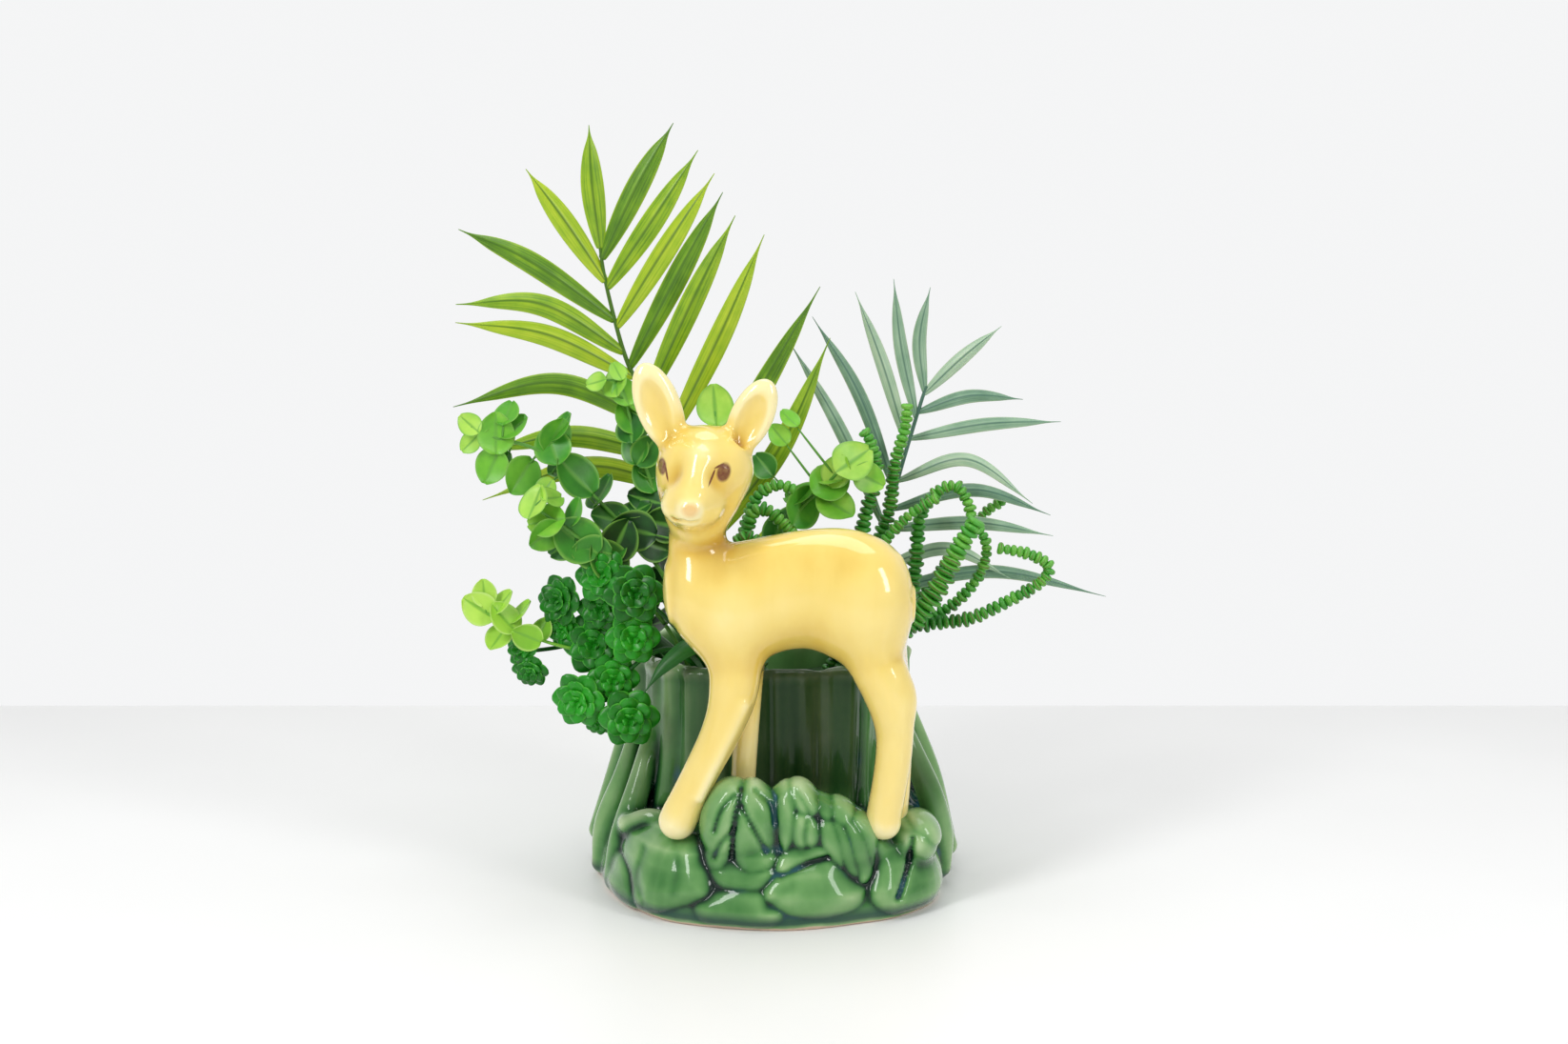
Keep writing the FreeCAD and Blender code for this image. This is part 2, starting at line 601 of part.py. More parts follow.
PALM_STEM = [(-12, 8, 72), (-17, 16, 105), (-24, 22, 128), (-36, 24, 167), (-47, 25, 201),
             (-57, 26, 225), (-67, 26, 244), (-73, 25, 259), (-78, 24, 278), (-82, 22, 297),
             (-84, 20, 313)]
PALM_LEAFLETS = [
    [(-84, 20, 309), (-87, 17, 342), (-88, 15, 370)],
    [(-83, 22, 295), (-102, 18, 325), (-119, 15, 349)],
    [(-80, 23, 275), (-118, 18, 304), (-152, 12, 320)],
    [(-75, 25, 257), (-112, 16, 283), (-153, 4, 284)],
    [(-70, 26, 246), (-110, 17, 268), (-154, 8, 275)],
    [(-57, 26, 222), (-105, 22, 244), (-157, 14, 233)],
    [(-52, 25, 205), (-98, 20, 218), (-143, 14, 210)],
    [(-46, 25, 190), (-92, 24, 202), (-144, 18, 186)],
    [(-83, 21, 306), (-64, 16, 342), (-47, 14, 371)],
    [(-80, 23, 290), (-56, 14, 326), (-35, 10, 358)],
    [(-77, 24, 272), (-50, 14, 312), (-27, 8, 347)],
    [(-70, 26, 251), (-44, 14, 300), (-23, 6, 338)],
    [(-63, 26, 236), (-38, 12, 286), (-17, 4, 327)],
    [(-52, 26, 216), (-24, 10, 270), (-3, 2, 318)],
    [(-40, 24, 182), (-6, 12, 240), (24, 2, 293)],
    [(-33, 24, 158), (4, 14, 212), (29, 6, 268)],
    [(-28, 23, 140), (10, 12, 178), (34, 2, 205)],
]
frond("palm_frond", PALM_STEM, 2.0, PALM_LEAFLETS, 9)

AREC_STEM = [(30, 4, 72), (38, 14, 98), (46, 20, 118), (51, 22, 142), (56, 23, 166), (63, 23, 195),
             (70, 22, 220), (75, 21, 237), (77, 20, 243)]
AREC_LEAFLETS = [
    [(76, 20, 240), (73, 18, 266), (78, 15, 292)],
    [(76, 20, 239), (94, 17, 257), (113, 13, 273)],
    [(73, 21, 228), (98, 18, 238), (124, 12, 237)],
    [(70, 22, 214), (106, 18, 224), (143, 12, 226)],
    [(64, 23, 197), (97, 14, 207), (129, 6, 186)],
    [(61, 23, 182), (101, 20, 191), (139, 14, 179)],
    [(58, 23, 168), (101, 22, 174), (141, 18, 168)],
    [(53, 22, 150), (88, 22, 161), (120, 20, 146)],
    [(50, 22, 137), (110, 24, 149), (169, 24, 136)],
    [(72, 22, 226), (64, 20, 262), (60, 16, 296)],
    [(68, 22, 212), (55, 18, 254), (41, 12, 290)],
    [(62, 23, 192), (43, 16, 240), (20, 10, 278)],
    [(57, 23, 172), (34, 18, 222), (8, 12, 267)],
]
frond("blue_palm_frond", AREC_STEM, 1.7, AREC_LEAFLETS, 7.5)


def petiole(stem, spot):
    """The short stalk from a stem to the middle of a leaf or rosette."""
    start, end = on_stem(stem, spot), Vector(*spot)
    if start.distanceToPoint(end) < 1:
        start = start + Vector(0, 1, 0)
    return faceted([oval(p, Vector(0.7, 0, 0.2), Vector(0, 0.7, 0.2), 5) for p in (start, end)])


def leafy_spray(label, stem, leaves):
    """A stem with round leaves of (x, y, z, radius, facing x, facing z)."""
    parts = [stalk(stem, 1.4, 0.8, steps=STEM_STEPS)]
    for x, y, z, radius, facing_x, facing_z in leaves:
        parts.append(petiole(stem, (x, y, z)))
        parts.append(disc((x, y, z), radius, (facing_x, -0.8, facing_z)))
    keep(shaped(label, one_piece(parts)), label)


leafy_spray("eucalyptus_spray_1", [
    (-34, -8, 74), (-40, -8, 110), (-51, -9, 150), (-74, -10, 180), (-96, -12, 202), (-114, -14, 216),
    (-135, -16, 222), (-144, -18, 227)], [
    (-144, -18, 228, 5.5, -0.3, 0.4), (-132, -16, 223, 9, 0.1, 0.3), (-134, -16, 208, 8, -0.3, 0.3),
    (-120, -15, 203, 9, 0.2, 0.1), (-105, -13, 216, 9, 0.2, 0.5), (-94, -13, 202, 11, 0.3, 0.2),
    (-77, -11, 181, 9, 0.4, 0.4)])
leafy_spray("eucalyptus_spray_2", [
    (-37, -12, 74), (-39, -14, 104), (-52, -21, 132), (-74, -27, 158), (-93, -30, 176),
    (-112, -32, 190)], [
    (-112, -32, 192, 8, -0.2, 0.4), (-107, -32, 177, 8, 0.2, 0.1), (-92, -30, 174, 11, 0.2, 0.3),
    (-78, -27, 163, 10, 0.3, 0.2), (-62, -23, 146, 9, 0.3, 0.3)])
leafy_spray("eucalyptus_spray_3", [
    (-26, 2, 74), (-34, 2, 110), (-46, 2, 150), (-57, 2, 191), (-66, 0, 219), (-71, -3, 241),
    (-73, -4, 248)], [
    (-75, -4, 246, 7, -0.3, 0.3), (-69, -1, 229, 8, 0.3, 0.2), (-66, 0, 214, 7.5, -0.2, 0.1),
    (-61, 2, 200, 8, 0.3, 0.2)])
leafy_spray("eucalyptus_spray_4", [
    (-16, -8, 74), (-24, -9, 112), (-29, -9, 153), (-27, -10, 192), (-26, -10, 216),
    (-27, -10, 234)], [
    (-27, -10, 236, 9, 0.0, 0.3), (-24, -10, 220, 8, 0.4, 0.1)])
leafy_spray("eucalyptus_spray_5", [
    (2, -2, 74), (-4, -2, 108), (-7, -3, 148), (3, -4, 172), (15, -6, 186), (28, -8, 199),
    (36, -10, 207)], [
    (39, -10, 209, 10, 0.3, 0.4), (28, -8, 198, 9.5, -0.2, 0.3), (15, -6, 186, 10, 0.3, 0.1),
    (3, -4, 174, 8, -0.3, 0.2)])
leafy_spray("lime_sprig", [
    (-45, 0, 74), (-48, -1, 106), (-61, -8, 119), (-82, -20, 117), (-110, -26, 124),
    (-137, -27, 138)], [
    (-140, -27, 140, 8, -0.3, 0.4), (-128, -28, 135, 8, 0.2, 0.5), (-117, -30, 127, 7, 0.2, -0.2)])


def rosette_spray(label, stem, cups):
    """A stem with open cups of overlapping petals, each (x, y, z, radius)."""
    parts = [stalk(stem, 1.5, 1.0, steps=STEM_STEPS)]
    for x, y, z, r in cups:
        parts.append(petiole(stem, (x, y, z)))
        cup = Part.makeCone(r * 0.3, r, r * 0.55)
        outward = Vector(x / 90, -1, 0.35)
        cup.Placement = Placement(Vector(x, y, z), Rotation(Vector(0, 0, 1), outward))
        parts.append(cup)
    keep(shaped(label, one_piece(parts)), label)


rosette_spray("rosette_spray_1", [
    (-49, 9, 74), (-53, 7, 104), (-64, 1, 120), (-80, -7, 130), (-98, -14, 142),
    (-104, -17, 146)], [
    (-104, -17, 146, 8), (-82, -9, 129, 12)])
rosette_spray("rosette_spray_2", [
    (-52, 20, 74), (-56, 18, 104), (-68, 13, 118), (-90, 2, 118), (-106, -10, 117),
    (-119, -18, 117)], [
    (-119, -18, 117, 9), (-92, -1, 113, 12)])
rosette_spray("rosette_spray_3", [
    (-32, -20, 74), (-34, -21, 104), (-46, -25, 119), (-60, -28, 117), (-74, -31, 105),
    (-90, -31, 95)], [
    (-91, -31, 94, 12), (-68, -33, 90, 11)])
rosette_spray("rosette_spray_4", [
    (-26, -16, 74), (-29, -18, 104), (-44, -25, 128), (-60, -31, 146)], [
    (-64, -33, 150, 11)])

blade_nodes = {
    "strap_leaf_1": [(-20, -22, 80), (-22, -23, 108), (-35, -31, 123), (-50, -38, 115),
                     (-61, -42, 101)],
    "strap_leaf_2": [(-41, -6, 80), (-44, -8, 106), (-56, -16, 122), (-68, -21, 124),
                     (-78, -24, 112)],
}
for label, points in blade_nodes.items():
    keep(shaped(label, blade(points, 10, across=Vector(0.45, -0.9, 0))), label)

VINES = (
    [(37, -9, 74), (39, -9, 106), (50, -11, 122), (64, -13, 127), (74, -14, 137), (83, -14, 151),
     (91, -14, 167), (99, -14, 180)],
    [(41, -2, 74), (43, -3, 107), (56, -4, 123), (78, -5, 128), (98, -6, 131), (117, -6, 140),
     (132, -6, 149), (136, -6, 157), (126, -6, 163), (111, -6, 166)],
    [(44, 6, 74), (46, 5, 107), (60, 4, 122), (78, 3, 129), (92, 2, 138), (103, 1, 152),
     (106, 1, 166), (101, 1, 176)],
    [(49, 26, 74), (51, 25, 106), (62, 28, 121), (80, 29, 140), (93, 28, 160), (107, 27, 178),
     (119, 26, 186)],
    [(47, 14, 74), (49, 13, 106), (60, 12, 121), (69, 11, 136), (72, 11, 158), (74, 11, 180),
     (83, 10, 192), (92, 10, 194), (98, 10, 184), (100, 10, 172)],
    [(30, -15, 74), (36, -15, 108), (45, -5, 146), (55, 0, 167), (68, 2, 181), (81, 3, 189)],
    [(28, -6, 74), (36, -2, 108), (42, 3, 150), (46, 4, 179), (52, 4, 200), (49, 4, 216),
     (45, 4, 223)],
    [(20, 10, 74), (32, 6, 108), (46, 9, 150), (58, 12, 180), (61, 12, 204), (66, 12, 223),
     (67, 12, 235)],
    [(-4, -12, 74), (-12, -12, 110), (-17, -12, 152), (-9, -13, 188), (2, -14, 198), (12, -15, 196)],
    [(4, -16, 74), (-6, -17, 110), (-14, -18, 150), (-10, -19, 182), (-2, -20, 187), (10, -21, 176)],
    [(-10, -20, 74), (-16, -22, 110), (-20, -24, 155), (-14, -26, 174), (-6, -27, 172),
     (-4, -27, 163)],
)
for i, points in enumerate(VINES, start=1):
    keep(shaped(f"button_vine_{i}", stalk(points, 3.2, 2.0, steps=STEM_STEPS)), f"button_vine_{i}")

# ---------------------------------------------------------------------------------------
# Check and write
# ---------------------------------------------------------------------------------------

doc.recompute()
for thing in doc.Objects:
    if {"Invalid", "Error"} & set(thing.State):
        raise SystemExit(f"{thing.Name} ({thing.Label}) failed: {thing.State}")
os.makedirs("parts", exist_ok=True)
for node in nodes:
    shape = node.Shape
    if shape.isNull() or not shape.isValid():
        raise SystemExit(f"{node.Label} has no valid shape")
    box = shape.BoundBox
    print(f"{node.Label:24s} solids {len(shape.Solids)} volume {shape.Volume:10.0f}  "
          f"x {box.XMin:.1f} {box.XMax:.1f}  y {box.YMin:.1f} {box.YMax:.1f}  "
          f"z {box.ZMin:.1f} {box.ZMax:.1f}")
    shape.exportStep(f"parts/{node.Label}.step")
print(len(nodes), "nodes")
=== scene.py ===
"""Looks of the television lamp: glazed ceramic fawn and stump planter, foliage and lamp fitting.

Shapes are worked out in millimetres in the CAD model's own frame and scaled to metres.
"""

import json
import math
import random

import bpy
import numpy as np
import openvdb
from mathutils import Matrix, Vector


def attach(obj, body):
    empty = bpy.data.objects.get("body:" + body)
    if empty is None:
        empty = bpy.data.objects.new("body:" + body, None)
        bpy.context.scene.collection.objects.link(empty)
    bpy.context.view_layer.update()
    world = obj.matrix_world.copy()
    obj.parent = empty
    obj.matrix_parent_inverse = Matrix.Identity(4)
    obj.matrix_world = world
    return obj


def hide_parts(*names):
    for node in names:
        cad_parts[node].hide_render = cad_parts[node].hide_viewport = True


MM = 0.001
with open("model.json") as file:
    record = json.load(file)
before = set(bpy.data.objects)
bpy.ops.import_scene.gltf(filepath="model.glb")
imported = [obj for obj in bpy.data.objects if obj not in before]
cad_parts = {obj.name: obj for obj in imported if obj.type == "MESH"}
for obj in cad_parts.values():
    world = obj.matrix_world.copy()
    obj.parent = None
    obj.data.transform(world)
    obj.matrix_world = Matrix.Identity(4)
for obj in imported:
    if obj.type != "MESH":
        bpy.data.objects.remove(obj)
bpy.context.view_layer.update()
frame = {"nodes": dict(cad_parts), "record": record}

# ---------------------------------------------------------------------------------------
# Camera, light and floor
# ---------------------------------------------------------------------------------------

CAMERA_SPOT = (0.00636, -1.055, 0.345)
CAMERA_DROP = 9.0
LENS, SENSOR_WIDTH = 50.0, 36.0
TABLE_END, FLOOR_REACH = 0.347, 6
# name, place, point aimed at, width, height, power
LIGHTS = (("key", (-0.75, -0.85, 0.95), (0, 0, 0.15), 0.30, 0.8, 8.8),
          ("fill", (0.95, -0.8, 0.8), (0, 0, 0.15), 0.25, 0.8, 5.8),
          ("top", (0.1, 0.1, 1.4), (0, 0, 0.1), 1.0, 0.6, 5))
WORLD_COLOUR = (0.99, 0.995, 1.0, 1)
WORLD_SWELL = (("From Min", 0.2), ("From Max", 0.9), ("To Min", 0.50), ("To Max", 0.92))


def placed(name, data):
    """A new object, linked into the scene."""
    made = bpy.data.objects.new(name, data)
    bpy.context.collection.objects.link(made)
    return made


def make_camera():
    data = bpy.data.cameras.new("camera")
    data.lens, data.sensor_width = LENS, SENSOR_WIDTH
    camera = placed("camera", data)
    camera.location = CAMERA_SPOT
    camera.rotation_euler = (math.radians(90 - CAMERA_DROP), 0, 0)
    bpy.context.scene.camera = camera


def area_light(name, spot, target, width, height, power):
    data = bpy.data.lights.new(name, "AREA")
    data.shape = "RECTANGLE"
    data.size, data.size_y = width, height
    data.energy = power
    light = placed(name, data)
    light.location = spot
    aim = Vector(target) - Vector(spot)
    light.rotation_euler = aim.to_track_quat("-Z", "Y").to_euler()


def studio_world():
    """Even light, brighter from behind the object, as in front of a white wall."""
    world = bpy.data.worlds.new("studio")
    world.use_nodes = True
    tree = world.node_tree
    background = tree.nodes["Background"]
    background.inputs[0].default_value = WORLD_COLOUR
    way = tree.nodes.new("ShaderNodeSeparateXYZ")
    tree.links.new(tree.nodes.new("ShaderNodeTexCoord").outputs["Generated"], way.inputs[0])
    swell = tree.nodes.new("ShaderNodeMapRange")
    for label, value in WORLD_SWELL:
        swell.inputs[label].default_value = value
    tree.links.new(way.outputs["Y"], swell.inputs["Value"])
    tree.links.new(swell.outputs[0], background.inputs[1])
    bpy.context.scene.world = world


def make_stage():
    bpy.context.scene.view_settings.view_transform = "Standard"
    studio_world()
    for light in LIGHTS:
        area_light(*light)
    data = bpy.data.meshes.new("floor")
    corners = [(x, y, 0) for y in (-FLOOR_REACH, TABLE_END) for x in (-FLOOR_REACH, FLOOR_REACH)]
    data.from_pydata(corners, [], [(0, 1, 3, 2)])
    paint = Paint("floor_paint").set(Roughness=0.42, Specular_IOR_Level=0.35)
    paint.colour(paint.mix(paint.cloud(0, 1, 3, 3), (0.84, 0.84, 0.835), (0.88, 0.88, 0.875)))
    data.materials.append(paint.material)
    floor = placed("floor", data)


def new_piece(name, points, faces, values, material):
    """A smooth mesh object, in metres, with one number a point under each label."""
    data = bpy.data.meshes.new(name)
    data.from_pydata(points, [], faces)
    data.update()
    data.polygons.foreach_set("use_smooth", [True] * len(data.polygons))
    for label, numbers in values.items():
        data.attributes.new(label, "FLOAT", "POINT").data.foreach_set("value", numbers)
    data.materials.append(material)
    return placed(name, data)


# ---------------------------------------------------------------------------------------
# Clay: forms blended in a signed distance grid
# ---------------------------------------------------------------------------------------

def blended(a, b, soft):
    """The union of two distances with a rounded inner corner."""
    if soft <= 0:
        return np.minimum(a, b)
    near = np.maximum(soft - np.abs(a - b), 0) / soft
    return np.minimum(a, b) - near * near * soft * 0.25


def carved(a, b, soft):
    """What is left of a where b is taken away."""
    return -blended(-a, b, soft)


def shared(a, b, soft):
    """What a and b have in common, with a rounded outer edge."""
    return -blended(-a, -b, soft)


class Clay:
    """A grid of distances in millimetres, negative inside the clay."""

    def __init__(self, low, high, step):
        self.step = step
        self.axes = [np.arange(l, h, step, dtype=np.float32) for l, h in zip(low, high)]
        self.field = np.full([len(a) for a in self.axes], 30.0, np.float32)

    def window(self, low, high):
        """Index ranges and coordinates of the part of the grid between two corners."""
        cuts = []
        for axis, l, h in zip(self.axes, low, high):
            a = int(np.searchsorted(axis, l))
            b = int(np.searchsorted(axis, h))
            cuts.append(slice(max(a, 0), max(b, a + 1)))
        x, y, z = (axis[c] for axis, c in zip(self.axes, cuts))
        return tuple(cuts), (x[:, None, None], y[None, :, None], z[None, None, :])

    def apply(self, form, soft, cut=False):
        distance, low, high = form
        margin = soft + 3 * self.step
        cuts, spots = self.window([v - margin for v in low], [v + margin for v in high])
        if 0 in self.field[cuts].shape:
            return
        made = distance(*spots)
        old = self.field[cuts]
        self.field[cuts] = carved(old, made, soft) if cut else blended(old, made, soft)

    def add(self, form, soft=0.0):
        self.apply(form, soft)

    def cut(self, form, soft=0.0):
        self.apply(form, soft, cut=True)

    def level(self, bottom):
        """Cuts the clay off flat below a height."""
        flat = bottom - self.axes[2][None, None, :]
        self.field = np.maximum(self.field, flat).astype(np.float32)

    def relief(self, radius):
        """How far the surface stands out of its surroundings, averaged over a radius in mm."""
        size = max(1, int(round(radius / self.step)))
        soft = np.clip(self.field, -radius * 2, radius * 2)
        rough = soft
        for axis in range(3):
            for _ in range(2):
                total = np.zeros_like(rough)
                for shift in range(-size, size + 1):
                    total += np.roll(rough, shift, axis)
                rough = total / (2 * size + 1)
        return rough - soft

    def mesh(self, name, reliefs, material):
        """A smooth mesh of the surface, in metres, with relief values at its points."""
        grid = openvdb.FloatGrid(30.0)
        grid.copyFromArray(self.field)
        spots, triangles, quads = grid.convertToPolygons(0.0, 0.0)
        spots = np.asarray(spots, np.float32)
        faces = [list(map(int, f))[::-1] for f in triangles] + [list(map(int, f))[::-1] for f in quads]
        origin = np.array([a[0] for a in self.axes], np.float32)
        corner = np.clip(spots.astype(int), 0, np.array(self.field.shape) - 2)
        part = spots - corner
        found = {}
        for label, radius in reliefs:
            values = self.relief(radius)
            total = np.zeros(len(spots), np.float32)
            for shift in np.ndindex(2, 2, 2):
                share = np.prod([np.abs(1 - d - part[:, k]) for k, d in enumerate(shift)], 0)
                total += share * values[tuple(corner[:, k] + d for k, d in enumerate(shift))]
            found[label] = total / radius
        return new_piece(name, ((spots * self.step + origin) * MM).tolist(), faces, found, material)


def ball(centre, radii, turn=(0, 0, 0)):
    """An ellipsoid: centre, half-axes, and turns about X, Y and Z in degrees."""
    cx, cy, cz = centre
    rot = (Matrix.Rotation(math.radians(turn[2]), 3, "Z")
           @ Matrix.Rotation(math.radians(turn[1]), 3, "Y")
           @ Matrix.Rotation(math.radians(turn[0]), 3, "X")).transposed()

    def distance(x, y, z):
        x, y, z = x - cx, y - cy, z - cz
        local = [rot[i][0] * x + rot[i][1] * y + rot[i][2] * z for i in range(3)]
        near = np.sqrt(sum((v / r) ** 2 for v, r in zip(local, radii)))
        slope = np.sqrt(sum((v / (r * r)) ** 2 for v, r in zip(local, radii))) + 1e-6
        return (near * (near - 1) / slope).astype(np.float32)

    reach = max(radii)
    return distance, [c - reach for c in centre], [c + reach for c in centre]


def box(low, high):
    """A square-edged box between two corners."""
    low, high = np.array(low, float), np.array(high, float)
    middle, half = (low + high) / 2, (high - low) / 2

    def distance(x, y, z):
        sides = [abs(v - m) - h for v, m, h in zip((x, y, z), middle, half)]
        return np.maximum(np.maximum(sides[0], sides[1]), sides[2]).astype(np.float32)

    return distance, tuple(low), tuple(high)


def rod(a, b, ra, rb):
    """A round bar from a to b, with its radius going from ra to rb."""
    a, b = np.array(a, float), np.array(b, float)
    along = b - a
    length = float(along @ along) + 1e-9

    def distance(x, y, z):
        x, y, z = x - a[0], y - a[1], z - a[2]
        t = np.clip((x * along[0] + y * along[1] + z * along[2]) / length, 0, 1)
        off = np.sqrt((x - t * along[0]) ** 2 + (y - t * along[1]) ** 2 + (z - t * along[2]) ** 2)
        return (off - (ra + (rb - ra) * t)).astype(np.float32)

    reach = max(ra, rb)
    low = np.minimum(a, b) - reach
    high = np.maximum(a, b) + reach
    return distance, list(low), list(high)


def bend(p0, p1, p2, p3, u):
    """A place on the smooth curve from p1 to p2, at the share u of the way."""
    return 0.5 * (2 * p1 + (p2 - p0) * u + (2 * p0 - 5 * p1 + 4 * p2 - p3) * u * u
                  + (3 * p1 - p0 - 3 * p2 + p3) * u ** 3)


def curve_points(points, count):
    """Points on a smooth curve through a list of points, which may carry more than place."""
    points = np.array(points, float)
    path = np.vstack([2 * points[0] - points[1], points, 2 * points[-1] - points[-2]])
    made = []
    for k in range(count):
        t = k / (count - 1) * (len(points) - 1)
        i = min(int(t), len(points) - 2)
        made.append(bend(*path[i:i + 4], t - i))
    return np.array(made)


def closed_curve(points):
    """Points on a closed smooth curve through a ring of points, five to a span."""
    ring = np.array(points, float)
    return np.array([bend(*(ring[(i + k) % len(ring)] for k in (-1, 0, 1, 2)), step / 5)
                     for i in range(len(ring)) for step in range(5)])


def add_limb(clay, stations, soft):
    """A limb through stations of (x, y, z, radius), with eight rods to a span."""
    path = curve_points(stations, (len(stations) - 1) * 8 + 1)
    pieces = [rod(a[:3], b[:3], a[3], b[3]) for a, b in zip(path, path[1:])]

    def distance(x, y, z):
        best = pieces[0][0](x, y, z)
        for piece in pieces[1:]:
            best = np.minimum(best, piece[0](x, y, z))
        return best

    clay.add((distance, np.min([p[1] for p in pieces], 0), np.max([p[2] for p in pieces], 0)), soft)


# ---------------------------------------------------------------------------------------
# Materials
# ---------------------------------------------------------------------------------------

class Paint:
    """A node material, built up from short calls."""

    def __init__(self, name):
        self.material = bpy.data.materials.new(name)
        self.material.use_nodes = True
        self.nodes = self.material.node_tree.nodes
        self.links = self.material.node_tree.links
        self.shader = self.nodes["Principled BSDF"]

    def set(self, **values):
        """Numbers or colours on the shader's own sockets."""
        for label, value in values.items():
            socket = self.shader.inputs[label.replace("_", " ")]
            colour = isinstance(value, tuple) and socket.type == "RGBA"
            socket.default_value = (*value, 1) if colour else value
        return self

    def node(self, kind, inputs=None, **settings):
        made = self.nodes.new(kind)
        for key, value in settings.items():
            setattr(made, key, value)
        for key, value in (inputs or {}).items():
            if isinstance(value, bpy.types.NodeSocket):
                self.links.new(value, made.inputs[key])
            else:
                made.inputs[key].default_value = value
        return made

    def place(self):
        return self.node("ShaderNodeTexCoord").outputs["Object"]

    def noise(self, scale, detail=3.0, rough=0.5, stretch=(1, 1, 1)):
        spot = self.place()
        if stretch != (1, 1, 1):
            spot = self.node("ShaderNodeMapping", {"Vector": spot, "Scale": stretch}).outputs[0]
        return self.node("ShaderNodeTexNoise", {"Vector": spot, "Scale": scale, "Detail": detail,
                                                "Roughness": rough}).outputs[0]

    def attribute(self, name):
        return self.node("ShaderNodeAttribute", attribute_name=name).outputs["Fac"]

    def math(self, operation, a, b=0.0):
        return self.node("ShaderNodeMath", {0: a, 1: b}, operation=operation).outputs[0]

    def add(self, *values):
        total = values[0]
        for value in values[1:]:
            total = self.math("ADD", total, value)
        return total

    def times(self, *values):
        total = values[0]
        for value in values[1:]:
            total = self.math("MULTIPLY", total, value)
        return total

    def cloud(self, low, high, *noise):
        """Noise, spread between two values."""
        return self.range(self.noise(*noise), 0.3, 0.7, low, high)

    def ramp(self, value, stops):
        """Colours, or greys from plain numbers, at places from 0 to 1."""
        made = self.node("ShaderNodeValToRGB", {"Fac": value})
        bar = made.color_ramp
        while len(bar.elements) < len(stops):
            bar.elements.new(0.5)
        for element, (place, colour) in zip(bar.elements, stops):
            element.position = place
            element.color = (*colour, 1) if isinstance(colour, tuple) else (colour,) * 3 + (1,)
        return made.outputs[0]

    def mix(self, share, a, b):
        made = self.node("ShaderNodeMix", data_type="RGBA")
        for socket, value in ((made.inputs[0], share), (made.inputs[6], a), (made.inputs[7], b)):
            if isinstance(value, bpy.types.NodeSocket):
                self.links.new(value, socket)
            else:
                socket.default_value = (*value, 1) if isinstance(value, tuple) else value
        return made.outputs[2]

    def range(self, value, low, high, to_low=0.0, to_high=1.0):
        return self.node("ShaderNodeMapRange", {"Value": value, "From Min": low, "From Max": high,
                                                "To Min": to_low, "To Max": to_high}).outputs[0]

    def colour(self, socket):
        self.links.new(socket, self.shader.inputs["Base Color"])
        return self

    def rough(self, socket):
        self.links.new(socket, self.shader.inputs["Roughness"])
        return self

    def bump(self, height, strength=0.2, distance=0.001):
        made = self.node("ShaderNodeBump", {"Height": height, "Strength": strength,
                                            "Distance": distance})
        self.links.new(made.outputs[0], self.shader.inputs["Normal"])
        return self


def green_glaze():
    """Copper green, pale where the glaze ran thin over ridges and nearly black where it pooled, with
    painted shade on the stump's front behind the fawn.
    """
    paint = Paint("green_glaze").set(Roughness=0.25, Coat_Roughness=0.03, Coat_IOR=1.36,
                                     Specular_IOR_Level=0.12)
    total = paint.add(paint.times(paint.attribute("relief"), 0.9),
                      paint.times(paint.attribute("fine"), 0.58), paint.cloud(-0.12, 0.14, 28, 4),
                      paint.cloud(-0.03, 0.03, 60, 2, 0.6, (1, 1, 0.12)))
    tone = paint.range(total, -0.32, 0.62)
    glaze = paint.ramp(tone, [(0.0, (0.003, 0.015, 0.010)), (0.16, (0.008, 0.055, 0.014)),
                              (0.36, (0.055, 0.190, 0.046)), (0.58, (0.130, 0.305, 0.095)),
                              (0.80, (0.27, 0.44, 0.19)), (1.0, (0.46, 0.60, 0.34))])
    depth, height = paint.node("ShaderNodeSeparateXYZ", {0: paint.place()}).outputs[1:]
    # painted shade: the stump's front behind the fawn, where the fawn shades it, is painted darker, and its
    # coat is weakened there to paint out the reflection
    shade = paint.times(paint.range(depth, -0.020, -0.034), paint.range(height, 0.035, 0.055),
                        paint.range(depth, -0.052, -0.044))
    glaze = paint.mix(paint.times(shade, 0.84), glaze, (0.005, 0.030, 0.008))
    paint.links.new(paint.range(shade, 0, 1, 1.0, 0.35), paint.shader.inputs["Coat Weight"])
    blue = paint.range(paint.noise(45, 2), 0.52, 0.68)
    glaze = paint.mix(paint.times(blue, paint.range(tone, 0.35, 0.1)), glaze, (0.02, 0.10, 0.13))
    # glaze pooled just above the foot, and the foot's bare edge
    level = paint.add(height, paint.cloud(-0.0007, 0.0007, 35, 3))
    pool = paint.times(paint.range(level, 0.0015, 0.0035), paint.range(level, 0.0095, 0.005))
    glaze = paint.mix(paint.times(pool, 0.85), glaze, (0.008, 0.045, 0.040))
    bare = paint.range(level, 0.0017, 0.0011)
    paint.colour(paint.mix(bare, glaze, (0.62, 0.46, 0.34)))
    paint.rough(paint.range(bare, 0, 1, 0.2, 0.8))
    return paint.bump(paint.noise(120, 2), 0.06).material


# brush marks of the eyes, seen from the front: centre (X, Z), half sizes, turn in degrees
EYE_MARKS = [((-20.8, 213.6), (3.0, 4.2), -12), ((-22.6, 216.6), (0.55, 2.6), -67),
             ((-26.0, 211.8), (0.5, 3.8), -22), ((-49.0, 215.2), (2.0, 3.7), 0),
             ((-47.0, 213.4), (0.5, 4.4), 12)]
NOSE_MARK = ((-35.4, 198.6), (3.6, 3.0), 0)


